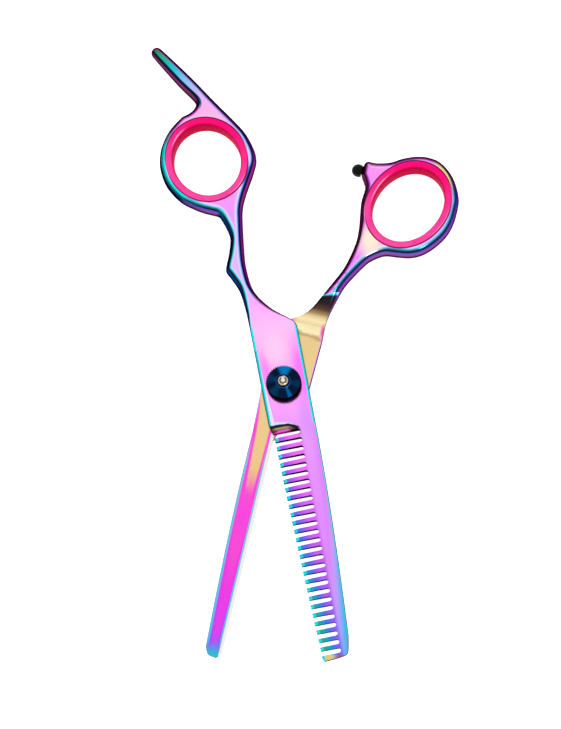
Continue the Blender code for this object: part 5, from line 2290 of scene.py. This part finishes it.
# The dial's colours by tilt: painted shade on its steep knurled skirt, with maroon painted reflections of
# the pink plate.
DIAL_SHADE_AND_REFLECTION_TONES = (
    (0.0, srgb(4, 26, 54)),
    (0.3, srgb(5, 24, 50)),
    (0.5, srgb(10, 4, 16)),
    (0.8, srgb(80, 10, 46)),
    (1.0, srgb(130, 20, 66)),
)
# Painted highlights: bright blue sectors on the dial's cone, where its turning lines would catch the lamps.
DIAL_HIGHLIGHT_FANS = (
    (4.0, 34.0, srgb(0, 120, 192)),
    (154.0, 11.0, srgb(0, 92, 160)),
    (-76.0, 24.0, srgb(4, 50, 88)),
    (98.0, 20.0, srgb(4, 44, 80)),
    (-138.0, 24.0, srgb(2, 54, 84)),
)
# A painted highlight on the collar's edge, and painted shade just inside it round the stud.
DIAL_HIGHLIGHT_AND_SHADE_RINGS = ((1.86, 0.1, srgb(40, 110, 210)), (1.62, 0.16, srgb(6, 12, 30)))

COMB_TURN = 11.3
PLAIN_TURN = -13.6


def build_shears() -> None:
    """Builds every piece of the shears, in order, and hides the imported part that each built piece
    replaces.
    """
    # The bolt's steel, with painted reflections and painted highlights on its dome.
    steel = PlainMetal(
        "bare_steel",
        colour=srgb(226, 220, 206),
        stain=srgb(196, 186, 168),
        roughness=0.12,
        turned=True,
        tones=DOME_REFLECTION_TONES,
        fans=DOME_HIGHLIGHT_FANS,
    ).build()
    # The dial's blued steel, with painted shade, painted reflections and painted highlights.
    blued = PlainMetal(
        "blued_steel",
        colour=srgb(6, 30, 60),
        stain=srgb(4, 22, 46),
        roughness=0.26,
        turned=True,
        anisotropy=0.8,
        tones=DIAL_SHADE_AND_REFLECTION_TONES,
        fans=DIAL_HIGHLIGHT_FANS,
        rings=DIAL_HIGHLIGHT_AND_SHADE_RINGS,
        edge_tint=(0.12, 0.05, 0.08),
    ).build()
    spring = PlainMetal("spring_steel", srgb(150, 152, 156), srgb(120, 120, 126), 0.3).build()
    nylon = MouldedSoft("nylon", srgb(232, 230, 222), srgb(220, 216, 204), 0.5, skin=0.004).build()
    # The linings' pink: painted shade on the walls and towards the rings' far side, and a painted highlight
    # on one rounding.
    pink = MouldedSoft(
        "pink_elastomer",
        srgb(252, 72, 156),
        srgb(250, 60, 148),
        roughness=0.34,
        wall=srgb(180, 4, 62),
        skin=0.006,
        gloss=0.003,
        painted_highlight=srgb(255, 176, 208),
        far=srgb(246, 12, 112),
    ).build()
    black = MouldedSoft("black_rubber", srgb(7, 7, 8), srgb(4, 4, 5), 0.3, gloss=0.1).build()

    comb = CombHalf("comb_half_forged", "comb_side", COMB_TURN, LEFT_RING, COMB_COATING).build()
    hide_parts("comb_half")
    plain = PlainHalf("plain_half_forged", "plain_side", PLAIN_TURN, RIGHT_RING, PLAIN_COATING).build()
    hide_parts("plain_half")
    left = FingerInsert("left_ring_lining", "comb_side", COMB_TURN, LEFT_RING).build(pink)
    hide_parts("finger_insert_left")
    right = FingerInsert("right_ring_lining", "plain_side", PLAIN_TURN, RIGHT_RING).build(pink)
    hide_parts("finger_insert_right")
    ball = Bumper(PLAIN_TURN).build(black)
    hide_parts("bumper")
    bolt = PivotBolt(PLAIN_TURN).build(steel)
    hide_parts("pivot_bolt")
    dial = TensionDial().build(blued)
    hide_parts("tension_dial")
    HiddenHardware().dress({"nylon": nylon, "spring": spring})


def main() -> None:
    """Builds the studio and the shears."""
    logging.basicConfig(level=logging.INFO, format="%(name)s: %(message)s")
    Studio().build()
    build_shears()


if __name__ == "__main__":
    main()
